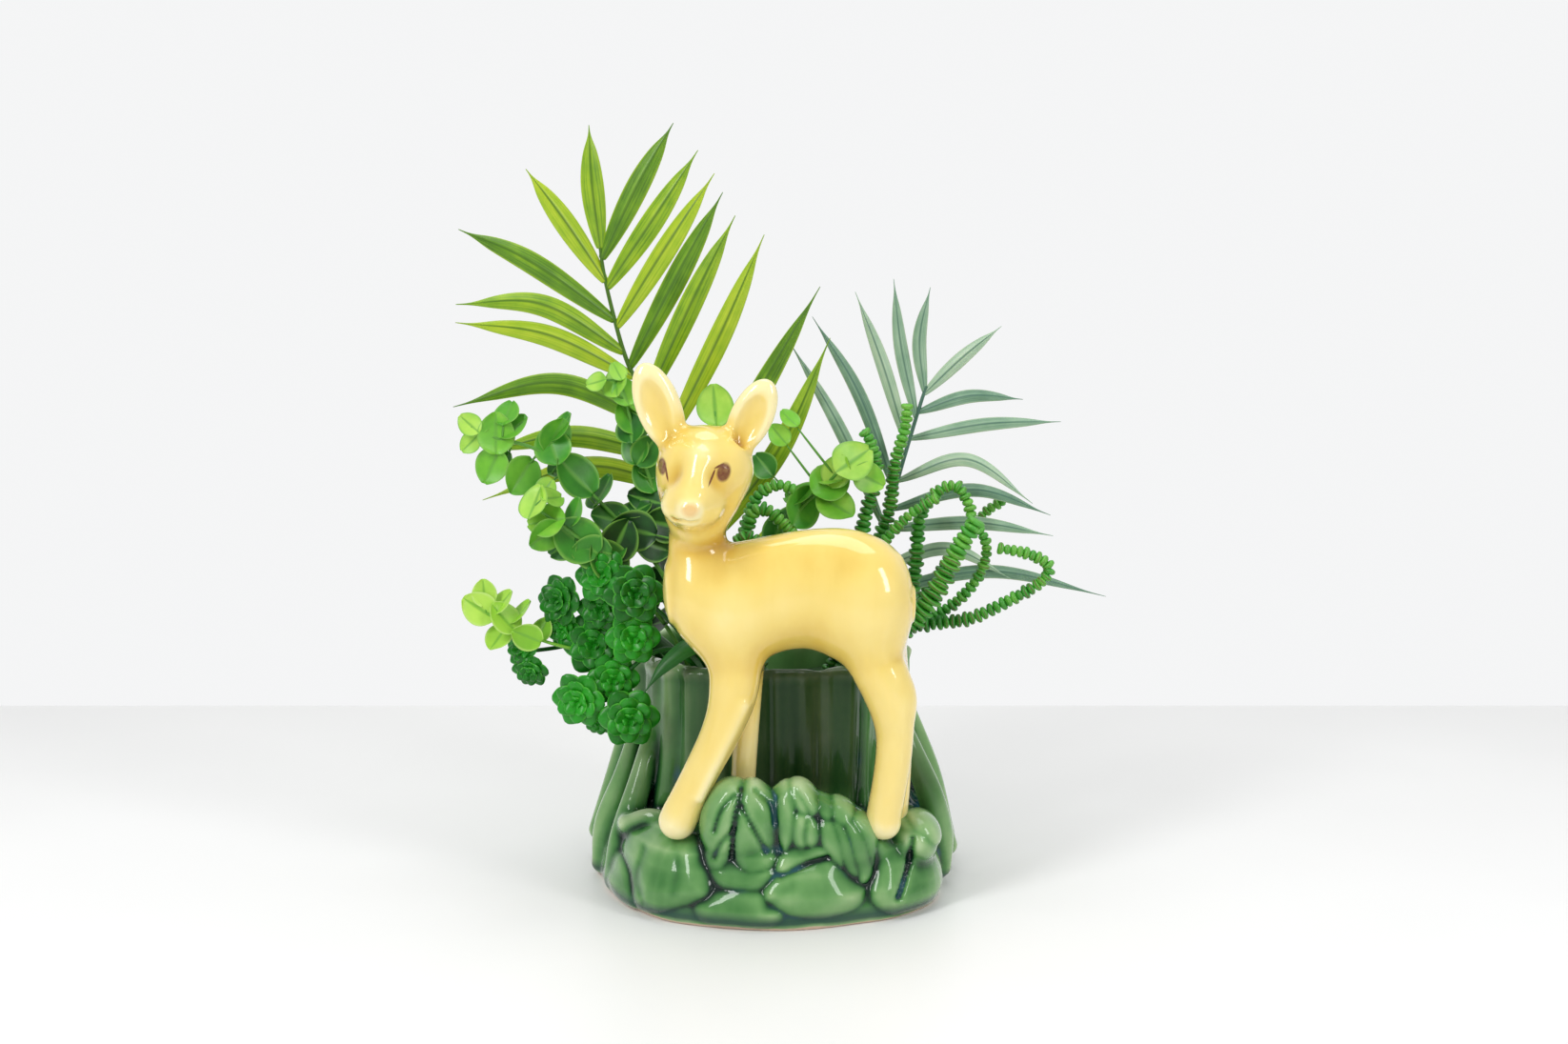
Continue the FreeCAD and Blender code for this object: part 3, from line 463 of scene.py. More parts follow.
def spot(paint, centre, radii, turn, soft):
    """A mask of an ellipse in the front view, in millimetres."""
    place = paint.node("ShaderNodeMapping", {
        "Vector": paint.place(), "Location": (-centre[0] * MM, 0, -centre[1] * MM)}).outputs[0]
    turned = paint.node("ShaderNodeVectorRotate", {
        "Vector": place, "Angle": math.radians(turn)}, rotation_type="Y_AXIS").outputs[0]
    sized = paint.node("ShaderNodeMapping", {
        "Vector": turned, "Scale": (1 / (radii[0] * MM), 0, 1 / (radii[1] * MM))}).outputs[0]
    reach = paint.node("ShaderNodeVectorMath", {0: sized}, operation="LENGTH").outputs["Value"]
    return paint.range(reach, 1 + soft / 2, 1 - soft / 2)


def honey_glaze():
    """Yellow glaze, paler on the high points and amber where it lies thick."""
    paint = Paint("honey_glaze").set(Roughness=0.2, Coat_Weight=1.0, Coat_Roughness=0.03,
                                     Specular_IOR_Level=0.25,
                                     Subsurface_Weight=0.08, Subsurface_Radius=(0.004, 0.003, 0.001))
    total = paint.add(paint.attribute("relief"), paint.cloud(-0.06, 0.06, 22, 4),
                      paint.cloud(-0.03, 0.03, 70, 3, 0.6, (1, 1, 0.3)))
    tone = paint.range(total, -0.30, 0.40)
    glaze = paint.ramp(tone, [(0.0, (0.46, 0.22, 0.020)), (0.3, (0.72, 0.47, 0.070)),
                              (0.55, (0.85, 0.64, 0.165)), (0.8, (0.90, 0.72, 0.25)),
                              (1.0, (0.93, 0.81, 0.42))])
    face = paint.range(paint.node("ShaderNodeSeparateXYZ", {0: paint.place()}).outputs[1],
                       -0.066, -0.070)
    nose = paint.times(spot(paint, *NOSE_MARK, 0.7), 0.55)
    glaze = paint.mix(paint.times(nose, face), glaze, (0.72, 0.34, 0.06))
    marks = None
    for eye_mark in EYE_MARKS:
        mark = spot(paint, *eye_mark, 0.35)
        marks = mark if marks is None else paint.math("MAXIMUM", marks, mark)
    marks = paint.times(marks, face, paint.cloud(0.8, 1.0, 420, 2))
    glaze = paint.mix(marks, glaze, (0.13, 0.018, 0.005))
    return paint.colour(glaze).bump(paint.noise(90, 2), 0.05).material


# ---------------------------------------------------------------------------------------
# Stump planter
# ---------------------------------------------------------------------------------------

STUMP = (-2.0, 26.0)
RIM_RADIUS, RIM_HEIGHT, FRONT_FLAT = 71.0, 112.0, -38.0
POCKET_RADIUS, POCKET_FLOOR, POCKET_FRONT = 62.0, 38.0, -31.5
ALCOVE = (0.0, 64.0)
ALCOVE_RADIUS, ALCOVE_WALL, ALCOVE_FLOOR, ALCOVE_MOUTH = 33.0, 6.0, 22.0, 27.0
LEDGE_HEIGHT, HOLLOW_HEIGHT, FOOT_WALL = 38.0, 31.0, 7.0
FOOT = [(0, -91), (-28, -86), (-53, -75), (-74, -48), (-82, -28), (-87, -5), (-91, 20),
        (-86, 48), (-66, 74), (-36, 88), (0, 90), (36, 88), (68, 74), (91, 42), (91, 14),
        (85, -20), (80, -50), (61, -72), (40, -82), (20, -89)]


def outline_distance(x, y, ring):
    """The signed distance in plan to a closed outline."""
    best = np.full(np.broadcast(x, y).shape, 1e9)
    inside = np.zeros(best.shape, bool)
    for (ax, ay), (bx, by) in zip(ring, np.roll(ring, -1, 0)):
        ex, ey = bx - ax, by - ay
        t = np.clip(((x - ax) * ex + (y - ay) * ey) / (ex * ex + ey * ey + 1e-9), 0, 1)
        best = np.minimum(best, (x - ax - t * ex) ** 2 + (y - ay - t * ey) ** 2)
        crosses = (ay > y) != (by > y)
        inside ^= crosses & (x < ax + (y - ay) * ex / (ey if abs(ey) > 1e-9 else 1e-9))
    return np.where(inside, -1, 1) * np.sqrt(best)


def trunk_form():
    """The fluted trunk with its flattened front, flaring into roots at the sides and back."""
    def distance(x, y, z):
        dx, dy = x - STUMP[0], y - STUMP[1]
        angle = np.arctan2(dy, dx)
        reach = np.sqrt(dx * dx + dy * dy)
        side = np.clip(0.5 + 0.9 * np.cos(angle) ** 2 - 0.9 * np.maximum(-np.sin(angle), 0), 0, 1)
        low = np.clip((78 - z) / 44, 0, 1)
        sway = angle + 0.0012 * (z - 70) * np.sin(3 * angle)
        flute = (1.5 * np.cos(13 * sway + 0.8 * np.sin(2 * angle)) + 0.9 * np.cos(27 * sway + 1.0)
                 + 0.5 * np.cos(41 * sway + 2.0 + 0.5 * np.sin(0.06 * z)))
        radius = RIM_RADIUS - 1.6 + 9 * side * low * low + flute * (1 + 0.9 * low * side)
        folds = (1.5 * np.cos(0.19 * x + 0.9) + 0.9 * np.cos(0.43 * x + 0.4 + 0.02 * z)
                 + 0.35 * np.cos(1.0 * x + 0.8))
        front = FRONT_FLAT + 1.2 - y + folds
        wall = shared((reach - radius) * 0.9, front + 0 * z, 10)
        bulge = 1.2 * np.clip(1 - np.abs(z - 109) / 5, 0, 1)
        return shared(wall - bulge, z - RIM_HEIGHT, 5).astype(np.float32)

    return distance, (-100, -60, 20), (100, 112, RIM_HEIGHT + 2)


# swelling patches of the front relief as seen from the front: outline (X, Z), height, edge width
PATCHES = [
    ([(-22, 69), (-27, 66), (-31, 58), (-33, 48), (-32, 36), (-29, 28), (-22, 27), (-18, 36),
      (-16, 48), (-13, 62), (-16, 68)], 4.5, 9),
    ([(-13, 62), (-15, 52), (-17, 40), (-15, 29), (-8, 26), (0, 30), (3, 40), (4, 52), (2, 62),
      (-4, 68), (-9, 68)], 4.5, 9),
    ([(-31, 33), (-26, 23), (-17, 19), (-6, 20), (0, 27), (-6, 30), (-17, 31), (-24, 33)], 3.0, 6),
    ([(0, 63), (3, 67), (8, 67), (11, 61), (11, 55), (6, 57)], 3.5, 4),
    ([(4, 62), (3, 52), (4, 42), (7, 36), (10, 42), (11, 51), (9, 60)], 4.0, 4),
    ([(12, 53), (10, 45), (12, 38), (18, 37), (22, 41), (22, 48), (18, 53)], 4.5, 6),
    ([(9, 65), (13, 68), (18, 66), (22, 60), (23, 55), (19, 52), (13, 55)], 4.5, 6),
    ([(22, 61), (21, 56), (24, 51), (28, 51), (29, 56), (27, 62)], 3.5, 4),
    ([(29, 60), (33, 59), (37, 54), (37, 49), (33, 48), (29, 52)], 3.5, 4),
    ([(23, 47), (25, 50), (29, 49), (32, 42), (34, 33), (33, 28), (28, 33), (24, 40)], 3.5, 4),
    ([(29, 49), (33, 49), (37, 41), (39, 33), (41, 24), (37, 25), (33, 32), (31, 42)], 3.2, 3.5),
    ([(34, 50), (38, 49), (44, 41), (46, 33), (47, 25), (43, 21), (40, 28), (37, 41)], 3.2, 3.5),
    ([(39, 50), (44, 48), (49, 41), (50, 33), (48, 27), (46, 31), (43, 41)], 3.0, 3.5),
    ([(4, 29), (7, 36), (14, 39), (23, 38), (28, 35), (24, 32), (15, 29), (8, 26)], 3.5, 5),
    ([(-2, 19), (5, 25), (15, 29), (27, 32), (33, 28), (38, 21), (42, 15), (38, 10), (24, 8),
      (10, 10), (0, 14)], 5.0, 11),
    ([(-33, 11), (-25, 16), (-15, 19), (-6, 18), (-1, 13), (4, 9), (0, 5), (-15, 4), (-30, 5)],
     3.5, 8),
    ([(-62, 36), (-56, 41), (-46, 40), (-38, 41), (-33, 37), (-32, 30), (-29, 22), (-31, 15),
      (-43, 11), (-54, 6), (-64, 5), (-66, 16), (-70, 24), (-68, 32)], 5.0, 11),
    ([(-76, 14), (-79, 8), (-72, 3), (-65, 3), (-66, 11), (-69, 19), (-74, 20)], 3.0, 6),
    ([(50, 35), (56, 39), (66, 40), (73, 37), (78, 30), (82, 20), (83, 10), (77, 5), (66, 5),
      (56, 6), (49, 13), (51, 24)], 5.0, 9),
    ([(66, 46), (72, 48), (77, 42), (80, 33), (74, 34), (68, 40)], 2.5, 4),
    ([(59, 44), (66, 42), (74, 35), (79, 28), (73, 32), (64, 36)], 2.5, 3),
]
# drawn grooves of the same relief: points (X, Z), depth, width
GROOVES = [
    ([(-14, 64), (-17, 50), (-18, 33)], 1.4, 1.3), ([(-17, 62), (-23, 55), (-26, 46)], 1.2, 1.3),
    ([(-17, 47), (-23, 40), (-26, 33)], 1.1, 1.4), ([(-13, 57), (-7, 46), (-2, 36)], 1.3, 1.4),
    ([(-7, 64), (0, 57), (2, 49)], 1.1, 1.3), ([(67, 37), (65, 25), (60, 12)], 2.2, 1.7),
    ([(5, 26), (15, 30), (26, 33)], 1.2, 1.6), ([(-1, 12), (4, 18), (10, 22)], 0.6, 3.0),
    ([(-60, 30), (-63, 18), (-60, 8)], 0.8, 2.0), ([(-45, 36), (-43, 26), (-45, 16)], 0.5, 2.5),
    ([(17, 50), (16, 43), (17, 38)], 0.7, 1.2), ([(12, 64), (16, 58), (18, 54)], 0.6, 1.2),
]
LEDGE_LEVELS = (0, 2.5, 8, 16, 26, 33, 38)
LEDGE_INSETS = (2.6, 1.2, 1.6, 3.6, 7.5, 11.5, 17.0)


def front_relief(x, z):
    """How far the relief stands out at each place of the front view."""
    best = np.zeros(np.broadcast(x, z).shape)
    for outline, height, edge in PATCHES:
        inside = 2.8 - outline_distance(x, z, closed_curve(outline))
        depth = np.clip(inside / (0.85 * edge + 2.8), 0, 1)
        best = np.maximum(best, 0.92 * height * (1 - (1 - depth) ** 2.4))
    for points, deep, wide in GROOVES:
        path = curve_points(points, 13)
        gap = np.min([(x - px) ** 2 + (z - pz) ** 2 for px, pz in path], 0)
        best = best - deep * np.exp(-gap / (wide * wide))
    return best


def ledge_form(ring):
    """The low leafy base: the foot's outline, sloping in above the table, with its relief."""
    mounds = [ball((-14, -68, 44), (18, 12, 22)), ball((12, -67, 43), (13, 11, 22)),
              ball((30, -66, 38), (20, 13, 18), (0, 12, 0)), ball((70, -50, 36), (11, 13, 9))]

    def distance(x, y, z):
        flat = outline_distance(x + 0 * y, y + 0 * x, ring)
        wall = (flat + np.interp(z, LEDGE_LEVELS, LEDGE_INSETS)) * 0.9
        body = shared(wall, z - LEDGE_HEIGHT, 6)
        for form in mounds:
            body = blended(body, form[0](x, y, z), 4)
        share = np.clip((-22 - y) / 16, 0, 1)
        body = body - front_relief(x[:, 0, :], z[0, :, :])[:, None, :] * share
        return np.maximum(body, -z - 0.01).astype(np.float32)

    return distance, (-105, -105, -3), (105, 105, 74)


def alcove_plan(x, y, grow=0.0):
    """The alcove's plan: round, and open to the back between two cheeks."""
    round_part = np.sqrt((x - ALCOVE[0]) ** 2 + (y - ALCOVE[1]) ** 2) - ALCOVE_RADIUS - grow
    mouth = np.maximum(np.abs(x - ALCOVE[0]) - ALCOVE_MOUTH - grow, ALCOVE[1] - y)
    return np.minimum(round_part, mouth + 0 * round_part)


def alcove_form():
    def distance(x, y, z):
        return np.maximum(alcove_plan(x, y), ALCOVE_FLOOR - z).astype(np.float32)

    return distance, (-40, 25, ALCOVE_FLOOR - 3), (40, 115, RIM_HEIGHT + 4)


def pocket_form():
    def distance(x, y, z):
        drum = np.sqrt((x - STUMP[0]) ** 2 + (y - STUMP[1]) ** 2) - POCKET_RADIUS
        plan = np.maximum(np.maximum(drum, POCKET_FRONT - y), -alcove_plan(x, y, ALCOVE_WALL))
        return np.maximum(plan, POCKET_FLOOR - z).astype(np.float32)

    return distance, (-70, -40, POCKET_FLOOR - 3), (70, 95, RIM_HEIGHT + 4)


def underside_form(ring):
    def distance(x, y, z):
        flat = outline_distance(x + 0 * y, y + 0 * x, ring) + FOOT_WALL + 1.5
        flat = flat + np.interp(z, LEDGE_LEVELS, LEDGE_INSETS)
        plan = np.maximum(flat, -alcove_plan(x, y, ALCOVE_WALL))
        return np.maximum(plan, z - HOLLOW_HEIGHT).astype(np.float32)

    return distance, (-100, -100, -3), (100, 100, HOLLOW_HEIGHT + 2)


# ribs of the roots, from above downwards: X, Y, Z, radius
ROOTS = [
    [(62, -22, 86, 4), (70, -24, 66, 5.5), (78, -24, 46, 6.5), (83, -22, 26, 6.5), (85, -18, 8, 4)],
    [(70, -8, 64, 4), (80, -4, 38, 6), (89, 6, 12, 5)],
    [(68, 20, 84, 3), (80, 22, 46, 6), (88, 26, 12, 6)],
    [(58, 60, 84, 3), (67, 66, 42, 6), (71, 70, 10, 5)],
    [(-58, -12, 80, 3), (-64, -22, 54, 5.5), (-72, -28, 26, 7), (-77, -30, 7, 4)],
    [(-66, 2, 78, 3), (-73, 0, 52, 5), (-82, -2, 26, 6.5), (-86, -4, 6, 4)],
    [(-71, 22, 80, 3), (-79, 24, 46, 5), (-89, 26, 14, 5)],
    [(-60, 60, 84, 3), (-67, 66, 46, 5.5), (-70, 70, 10, 5)],
    [(-44, -42, 38, 3), (-58, -40, 41, 3.5), (-70, -36, 36, 4)]]
HOOF_PAD_ENDS = [((x, -49, 34), (x, -49, 35.5)) for x in (-14, 58)]
HOOF_PAD_RADIUS, NIPPLE_HOLE, NUT_ROOM = 8.4, 5.2, 20
CORD_NOTCH = (-5, 66, -4), (5, 108, 13)
GROMMET_SEAT = (-7.8, 90, -4), (7.8, 108, 15.8)


def stump_planter():
    clay = Clay((-102, -104, -4), (104, 104, 118), 0.9)
    ring = closed_curve(FOOT)
    clay.add(trunk_form())
    clay.add(ledge_form(ring), 3)
    for rib in ROOTS:
        add_limb(clay, rib, 5.0)
    for low, high in HOOF_PAD_ENDS:
        clay.add(rod(low, high, HOOF_PAD_RADIUS, HOOF_PAD_RADIUS), 3)
    clay.cut(alcove_form(), 1.5)
    clay.cut(pocket_form(), 3.0)
    clay.cut(underside_form(ring), 1.5)
    clay.cut(rod((*ALCOVE, 5), (*ALCOVE, 30), NIPPLE_HOLE, NIPPLE_HOLE))
    clay.cut(box(*CORD_NOTCH))
    clay.cut(box(*GROMMET_SEAT))
    clay.cut(rod((*ALCOVE, -6), (*ALCOVE, 0), NUT_ROOM, NUT_ROOM))
    clay.level(0.0)
    piece = clay.mesh("stump_planter_glazed", (("relief", 4.0), ("fine", 1.8)), green_glaze())
    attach(piece, "lamp")
    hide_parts("stump_planter")


# ---------------------------------------------------------------------------------------
# Fawn
# ---------------------------------------------------------------------------------------

TORSO = [(-45, 152, 10, 9), (-40, 151, 19, 16), (-28, 149, 26, 20), (-8, 151, 28, 21.5),
         (15, 155.3, 27.8, 21.5), (33, 153, 31, 21.5), (47, 150, 31, 20.5), (57, 149, 25, 17),
         (63, 148, 16, 11), (66, 148, 6, 5)]
TORSO_MIDDLE = -58.0


def torso_form():
    """The barrel of the body, lofted along X through oval sections."""
    table = np.array(TORSO, float)
    fine = curve_points(TORSO, 91)

    def distance(x, y, z):
        middle, half_z, half_y = (np.interp(x, fine[:, 0], fine[:, k]) for k in (1, 2, 3))
        v, w = (z - middle) / half_z, (y - TORSO_MIDDLE) / half_y
        near = np.sqrt(v * v + w * w)
        across = (near - 1) * np.minimum(half_z, half_y)
        ends = np.maximum(table[0, 0] - x, x - table[-1, 0])
        return np.maximum(across * 0.85, ends).astype(np.float32)

    return distance, (-48, -82, 118), (68, -34, 188)


NEAR, FAR = -67.0, -49.0
# ellipsoids: centre, half sizes, turn in degrees, then softness of the join
HAUNCH_AND_CHEST = [
    ((45, -63, 148), (18, 16.5, 24), (0, 8, 0), 10), ((46, -53, 148), (17, 16, 24), (0, 8, 0), 10),
    ((-19, -64, 143), (15, 14, 22), (0, -12, 0), 12), ((-35, -59, 156), (13.5, 15, 18), (0, 0, 0), 10)]
SKULL = [((-30, -63, 212.5), (22.5, 21, 19), (0, 0, 0), 4), ((-32, -66, 202), (18.5, 17, 18), (0, 0, 0), 6),
         ((-34, -68, 191.5), (12.0, 13, 12), (0, 0, 0), 6)]
# limbs: X, Y, Z, radius
NECK = [(-30, -58, 152, 18), (-32, -58.5, 164, 15.5), (-34, -59, 176, 13.2), (-33, -60, 190, 13.5),
        (-32, -61, 202, 15)]
MUZZLE = [(-32.5, -74, 205, 11.5), (-34, -82, 200.5, 10.0), (-35, -87, 198.5, 8.6),
          (-35.4, -90, 197.6, 7.4)]
NEAR_FRONT_LEG = [(-18, -63, 138, 14.0), (-16.5, -64.5, 120, 12.4), (-17.5, -66, 107, 11.2),
                  (-20.5, NEAR, 96, 9.8), (-25.5, NEAR, 84, 8.9), (-32, NEAR, 71, 8.4),
                  (-37.8, NEAR, 59, 8.5), (-42.0, NEAR, 50, 9.0), (-43.6, NEAR, 46.5, 9.0)]
NEAR_REAR_LEG = [(46, -63, 142, 15), (48.5, -64, 124, 13.0), (54, -65.5, 111, 12.2),
                 (57, NEAR, 99, 10.2), (58, NEAR, 88, 8.8), (57.4, NEAR, 76, 8.4),
                 (55.4, NEAR, 62, 8.2), (53.4, NEAR, 50, 8.3), (53.0, NEAR, 45.8, 8.4)]
FAR_LEGS = [[(-14, -54, 132, 12.5), (-11.5, -51, 106, 7.6), (-12.2, FAR, 78, 6.1),
             (-13.4, FAR, 56, 6.0), (-14, FAR, 45.5, 6.8)],
            [(48, -54, 142, 14.5), (55, -51, 112, 10.4), (59.2, FAR, 88, 8.0),
             (59.4, FAR, 62, 7.3), (58, FAR, 46, 7.6)]]
TAIL = [(57, -60, 168, 5), (60.5, -61, 158, 5), (61.6, -61.5, 147, 4.6), (60.6, -62, 137, 3.2),
        (58.6, -62, 130, 1.6)]
# each ear and the hollow in it, as ellipsoids
EARS = [(((-51.0, -62, 241), (10.4, 5.2, 21.5), (3, -20, 0)),
         ((-52.6, -67.2, 240.6), (6.9, 4.8, 15.5), (3, -18, 0))),
        (((-8.5, -62, 236.5), (9.8, 5.2, 19), (3, 26, 0)),
         ((-9.0, -67.2, 235.4), (6.6, 4.8, 13.5), (3, 24, 0)))]
# mouth line and nostril crease: ends, radii there, then softness of the cut
MOUTH = [((-42, -90, 193.8), (-38.5, -95, 193.2), 0.6, 0.5, 1.6),
         ((-38.5, -95, 193.2), (-32, -95, 193.0), 0.5, 0.5, 1.6),
         ((-43.4, -84, 200.0), (-42.2, -88, 194.5), 0.8, 0.6, 3.5)]
EYE_SOCKETS = (-47.0, -85.0, 215.0), (-21.0, -88.5, 213.0)


def fawn():
    clay = Clay((-74, -108, 34), (80, -28, 270), 0.8)
    clay.add(torso_form())
    for *form, soft in HAUNCH_AND_CHEST:
        clay.add(ball(*form), soft)
    add_limb(clay, NECK, 5)
    for *form, soft in SKULL:
        clay.add(ball(*form), soft)
    add_limb(clay, MUZZLE, 8)
    clay.add(ball((-36.0, -83, 198.5), (13.0, 8.5, 8.5)), 6)
    clay.add(rod((-31, -80, 219), (-34, -88, 204), 5.0, 4.5), 8)
    clay.add(ball((-35.6, -95.0, 199.0), (4.4, 2.6, 3.0)), 4)
    for *form, soft in MOUTH:
        clay.cut(rod(*form), soft)
    for socket in EYE_SOCKETS:
        clay.cut(ball(socket, (5.0, 3.0, 5.0)), 5.0)
    for ear, hollow in EARS:
        clay.add(ball(*ear), 5)
        clay.cut(ball(*hollow), 1.8)
    clay.add(ball((-30, -62, 226.5), (12, 10, 5)), 5)
    add_limb(clay, NEAR_FRONT_LEG, 5)
    clay.add(rod((-12.5, -74.5, 104), (-33, -74.5, 60), 1.6, 1.2), 5)
    add_limb(clay, NEAR_REAR_LEG, 5)
    clay.add(ball((60, NEAR + 1, 104), (7.6, 8.0, 11)), 4)
    for leg in FAR_LEGS:
        add_limb(clay, leg, 5)
    add_limb(clay, TAIL, 1.6)
    clay.level(38.4)
    piece = clay.mesh("fawn_glazed", (("relief", 5.0), ("fine", 2.0)), honey_glaze())
    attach(piece, "lamp")
    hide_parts("fawn")


# ---------------------------------------------------------------------------------------
# Foliage
# ---------------------------------------------------------------------------------------

class Leaves:
    """Gathers the faces of one spray, with values for the colour at each point."""

    def __init__(self, name):
        self.name = name
        self.points, self.faces = [], []
        self.values = {"across": [], "along": [], "kind": []}

    def add(self, points, faces, across, along, kind):
        start = len(self.points)
        self.points += [tuple(p) for p in points]
        self.faces += [tuple(start + i for i in face) for face in faces]
        self.values["across"] += list(across)
        self.values["along"] += list(along)
        self.values["kind"] += [kind] * len(points)

    def tube(self, path, radius, tip=None, sides=8, kind=0.0):
        """A round stalk along a path of points."""
        tip = radius if tip is None else tip
        path = [Vector(p) for p in path]
        points, along = [], []
        side = None
        for i, spot in enumerate(path):
            way = (path[min(i + 1, len(path) - 1)] - path[max(i - 1, 0)]).normalized()
            side = (way.cross(side.cross(way).normalized()).normalized() if i
                    else way.orthogonal().normalized())
            up = way.cross(side)
            share = i / (len(path) - 1)
            r = radius + (tip - radius) * share
            for k in range(sides):
                angle = 2 * math.pi * k / sides
                points.append(spot + r * (math.cos(angle) * side + math.sin(angle) * up))
                along.append(share)
        faces = [(i * sides + k, i * sides + (k + 1) % sides, (i + 1) * sides + (k + 1) % sides,
                  (i + 1) * sides + k) for i in range(len(path) - 1) for k in range(sides)]
        faces += [tuple(range(sides))[::-1], tuple(range(len(points) - sides, len(points)))]
        self.add(points, faces, [0.5] * len(points), along, kind)

    def sheet(self, rows, thick, kind):
        """A closed leaf from rows of points across it, thickened to both sides."""
        count, wide = len(rows), len(rows[0])
        grid = [[Vector(p) for p in row] for row in rows]
        tops, lows, across, along = [], [], [], []
        for i in range(count):
            for j in range(wide):
                way = grid[min(i + 1, count - 1)][j] - grid[max(i - 1, 0)][j]
                span = grid[i][min(j + 1, wide - 1)] - grid[i][max(j - 1, 0)]
                normal = span.cross(way)
                normal = normal.normalized() if normal.length > 1e-6 else Vector((0, -1, 0))
                edge = min(j, wide - 1 - j) / ((wide - 1) / 2)
                half = thick * (0.25 + 0.75 * min(1, edge * 2)) / 2
                tops.append(grid[i][j] + normal * half)
                lows.append(grid[i][j] - normal * half)
                across.append(j / (wide - 1))
                along.append(i / (count - 1))
        faces = []
        total = count * wide
        for i in range(count - 1):
            for j in range(wide - 1):
                a, b = i * wide + j, (i + 1) * wide + j
                faces += [(a, a + 1, b + 1, b), (total + a, total + b, total + b + 1, total + a + 1)]
            for a, b in ((i * wide, (i + 1) * wide), ((i + 2) * wide - 1, (i + 1) * wide - 1)):
                faces.append((a, b, total + b, total + a))
        for row in (0, count - 1):
            for j in range(wide - 1):
                a = row * wide + j
                faces.append((a + 1, a, total + a, total + a + 1) if row == 0
                             else (a, a + 1, total + a + 1, total + a))
        self.add(tops + lows, faces, across * 2, along * 2, kind)

    def finish(self, material, body, node, level=1):
        points = [tuple(MM * v for v in p) for p in self.points]
        piece = new_piece(self.name, points, self.faces, self.values, material)
        if level:
            smooth = piece.modifiers.new("smooth", "SUBSURF")
            smooth.levels = smooth.render_levels = level
        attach(piece, body)
        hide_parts(node)


def long_leaf(leaves, points, width, facing, kind, fold):
    """A palm leaflet: narrow, pointed, creased along its midrib and finely pleated."""
    path = [Vector(p) for p in curve_points(points, 17)]
    rows = []
    facing = Vector(facing)
    for i, spot in enumerate(path):
        share = i / (len(path) - 1)
        way = (path[min(i + 1, 16)] - path[max(i - 1, 0)]).normalized()
        side = way.cross(facing).normalized()
        up = side.cross(way).normalized()
        half = width / 2 * (0.10 + 0.90 * math.sin(math.pi * min(1, share * 1.04 + 0.05)) ** 0.75)
        half *= 1 - max(0, share - 0.80) / 0.23 * 0.75
        row = []
        for j in range(9):
            across = j / 4 - 1
            lift = fold * half * 2 * (0.9 - abs(across)) + (0.05 * half if j % 2 else 0)
            row.append(spot + side * (half * across) + up * lift)
        rows.append(row)
    leaves.sheet(rows, 0.7, kind)


LEAF_LENGTH, LEAF_CUP = 1.15, 0.22


def round_leaf(leaves, centre, stem_point, radius, facing, kind):
    """A round, slightly cupped leaf with a short stalk from the stem."""
    centre, stem_point = Vector(centre), Vector(stem_point)
    facing = Vector(facing).normalized()
    way = centre - stem_point
    way = (way - facing * way.dot(facing))
    way = way.normalized() if way.length > 1.0 else facing.orthogonal().normalized()
    side = way.cross(facing).normalized()
    base = centre - way * radius * LEAF_LENGTH * 0.95
    rows = []
    for i in range(9):
        share = i / 8
        ahead = radius * LEAF_LENGTH * 2 * share
        half = radius * (0.10 + 0.95 * math.sin(math.pi * min(1, share ** 0.85 * 0.97 + 0.02)) ** 0.62)
        half = half if share < 1 else radius * 0.16
        row = []
        for j in range(9):
            across = j / 4 - 1
            dish = across * across * 0.9 + (share - 0.5) ** 2 * 1.6
            lift = LEAF_CUP * radius * dish - 0.04 * radius
            crease = -0.05 * radius * (1 - min(1, abs(across) * 3))
            row.append(base + way * ahead + side * half * across + facing * (lift + crease))
        rows.append(row)
    leaves.sheet(rows, 0.9, kind)
    leaves.tube([stem_point, stem_point.lerp(base, 0.5) - facing * 0.4, base + way * radius * 0.35],
                0.9, 0.6, 6, kind=0.15)


def nearest_on(path, spot):
    """The closest point of a path to a spot."""
    return min((Vector(p) for p in path), key=lambda p: (p - Vector(spot)).length)


def leaf_paint(name, stops, edge=None, rib=None, rough=0.38, streaks=True):
    """Plastic foliage: colours along the kind value, a tinted rim and a darker or paler midrib."""
    paint = Paint(name).set(Roughness=rough, Subsurface_Weight=0.12,
                            Subsurface_Radius=(0.002, 0.004, 0.001), Coat_Weight=0.06,
                            Coat_Roughness=0.2, Specular_IOR_Level=0.32)
    kind = paint.attribute("kind")
    across, along = paint.attribute("across"), paint.attribute("along")
    tone = paint.add(kind, paint.cloud(-0.10, 0.10, 90, 4))
    if streaks:
        comb = paint.node("ShaderNodeCombineXYZ", {0: paint.times(across, 26.0),
                                                   1: paint.times(along, 3.0), 2: kind})
        lines = paint.node("ShaderNodeTexNoise", {"Vector": comb.outputs[0], "Scale": 1.0,
                                                  "Detail": 3.0}).outputs[0]
        tone = paint.add(tone, paint.range(lines, 0.3, 0.7, -0.16, 0.16))
    colour = paint.ramp(tone, stops)
    off = paint.math("ABSOLUTE", paint.math("SUBTRACT", across, 0.5))
    if edge:
        colour = paint.mix(paint.range(off, 0.40, 0.485, 0, 0.75), colour, edge)
    if rib:
        colour = paint.mix(paint.range(off, 0.085, 0.02, 0, 0.75), colour, rib)
    paint.colour(colour)
    return paint.bump(paint.noise(260, 2), 0.08).material


STEM_STEPS = 6


def stem_path(points):
    return curve_points(points, (len(points) - 1) * STEM_STEPS + 1)

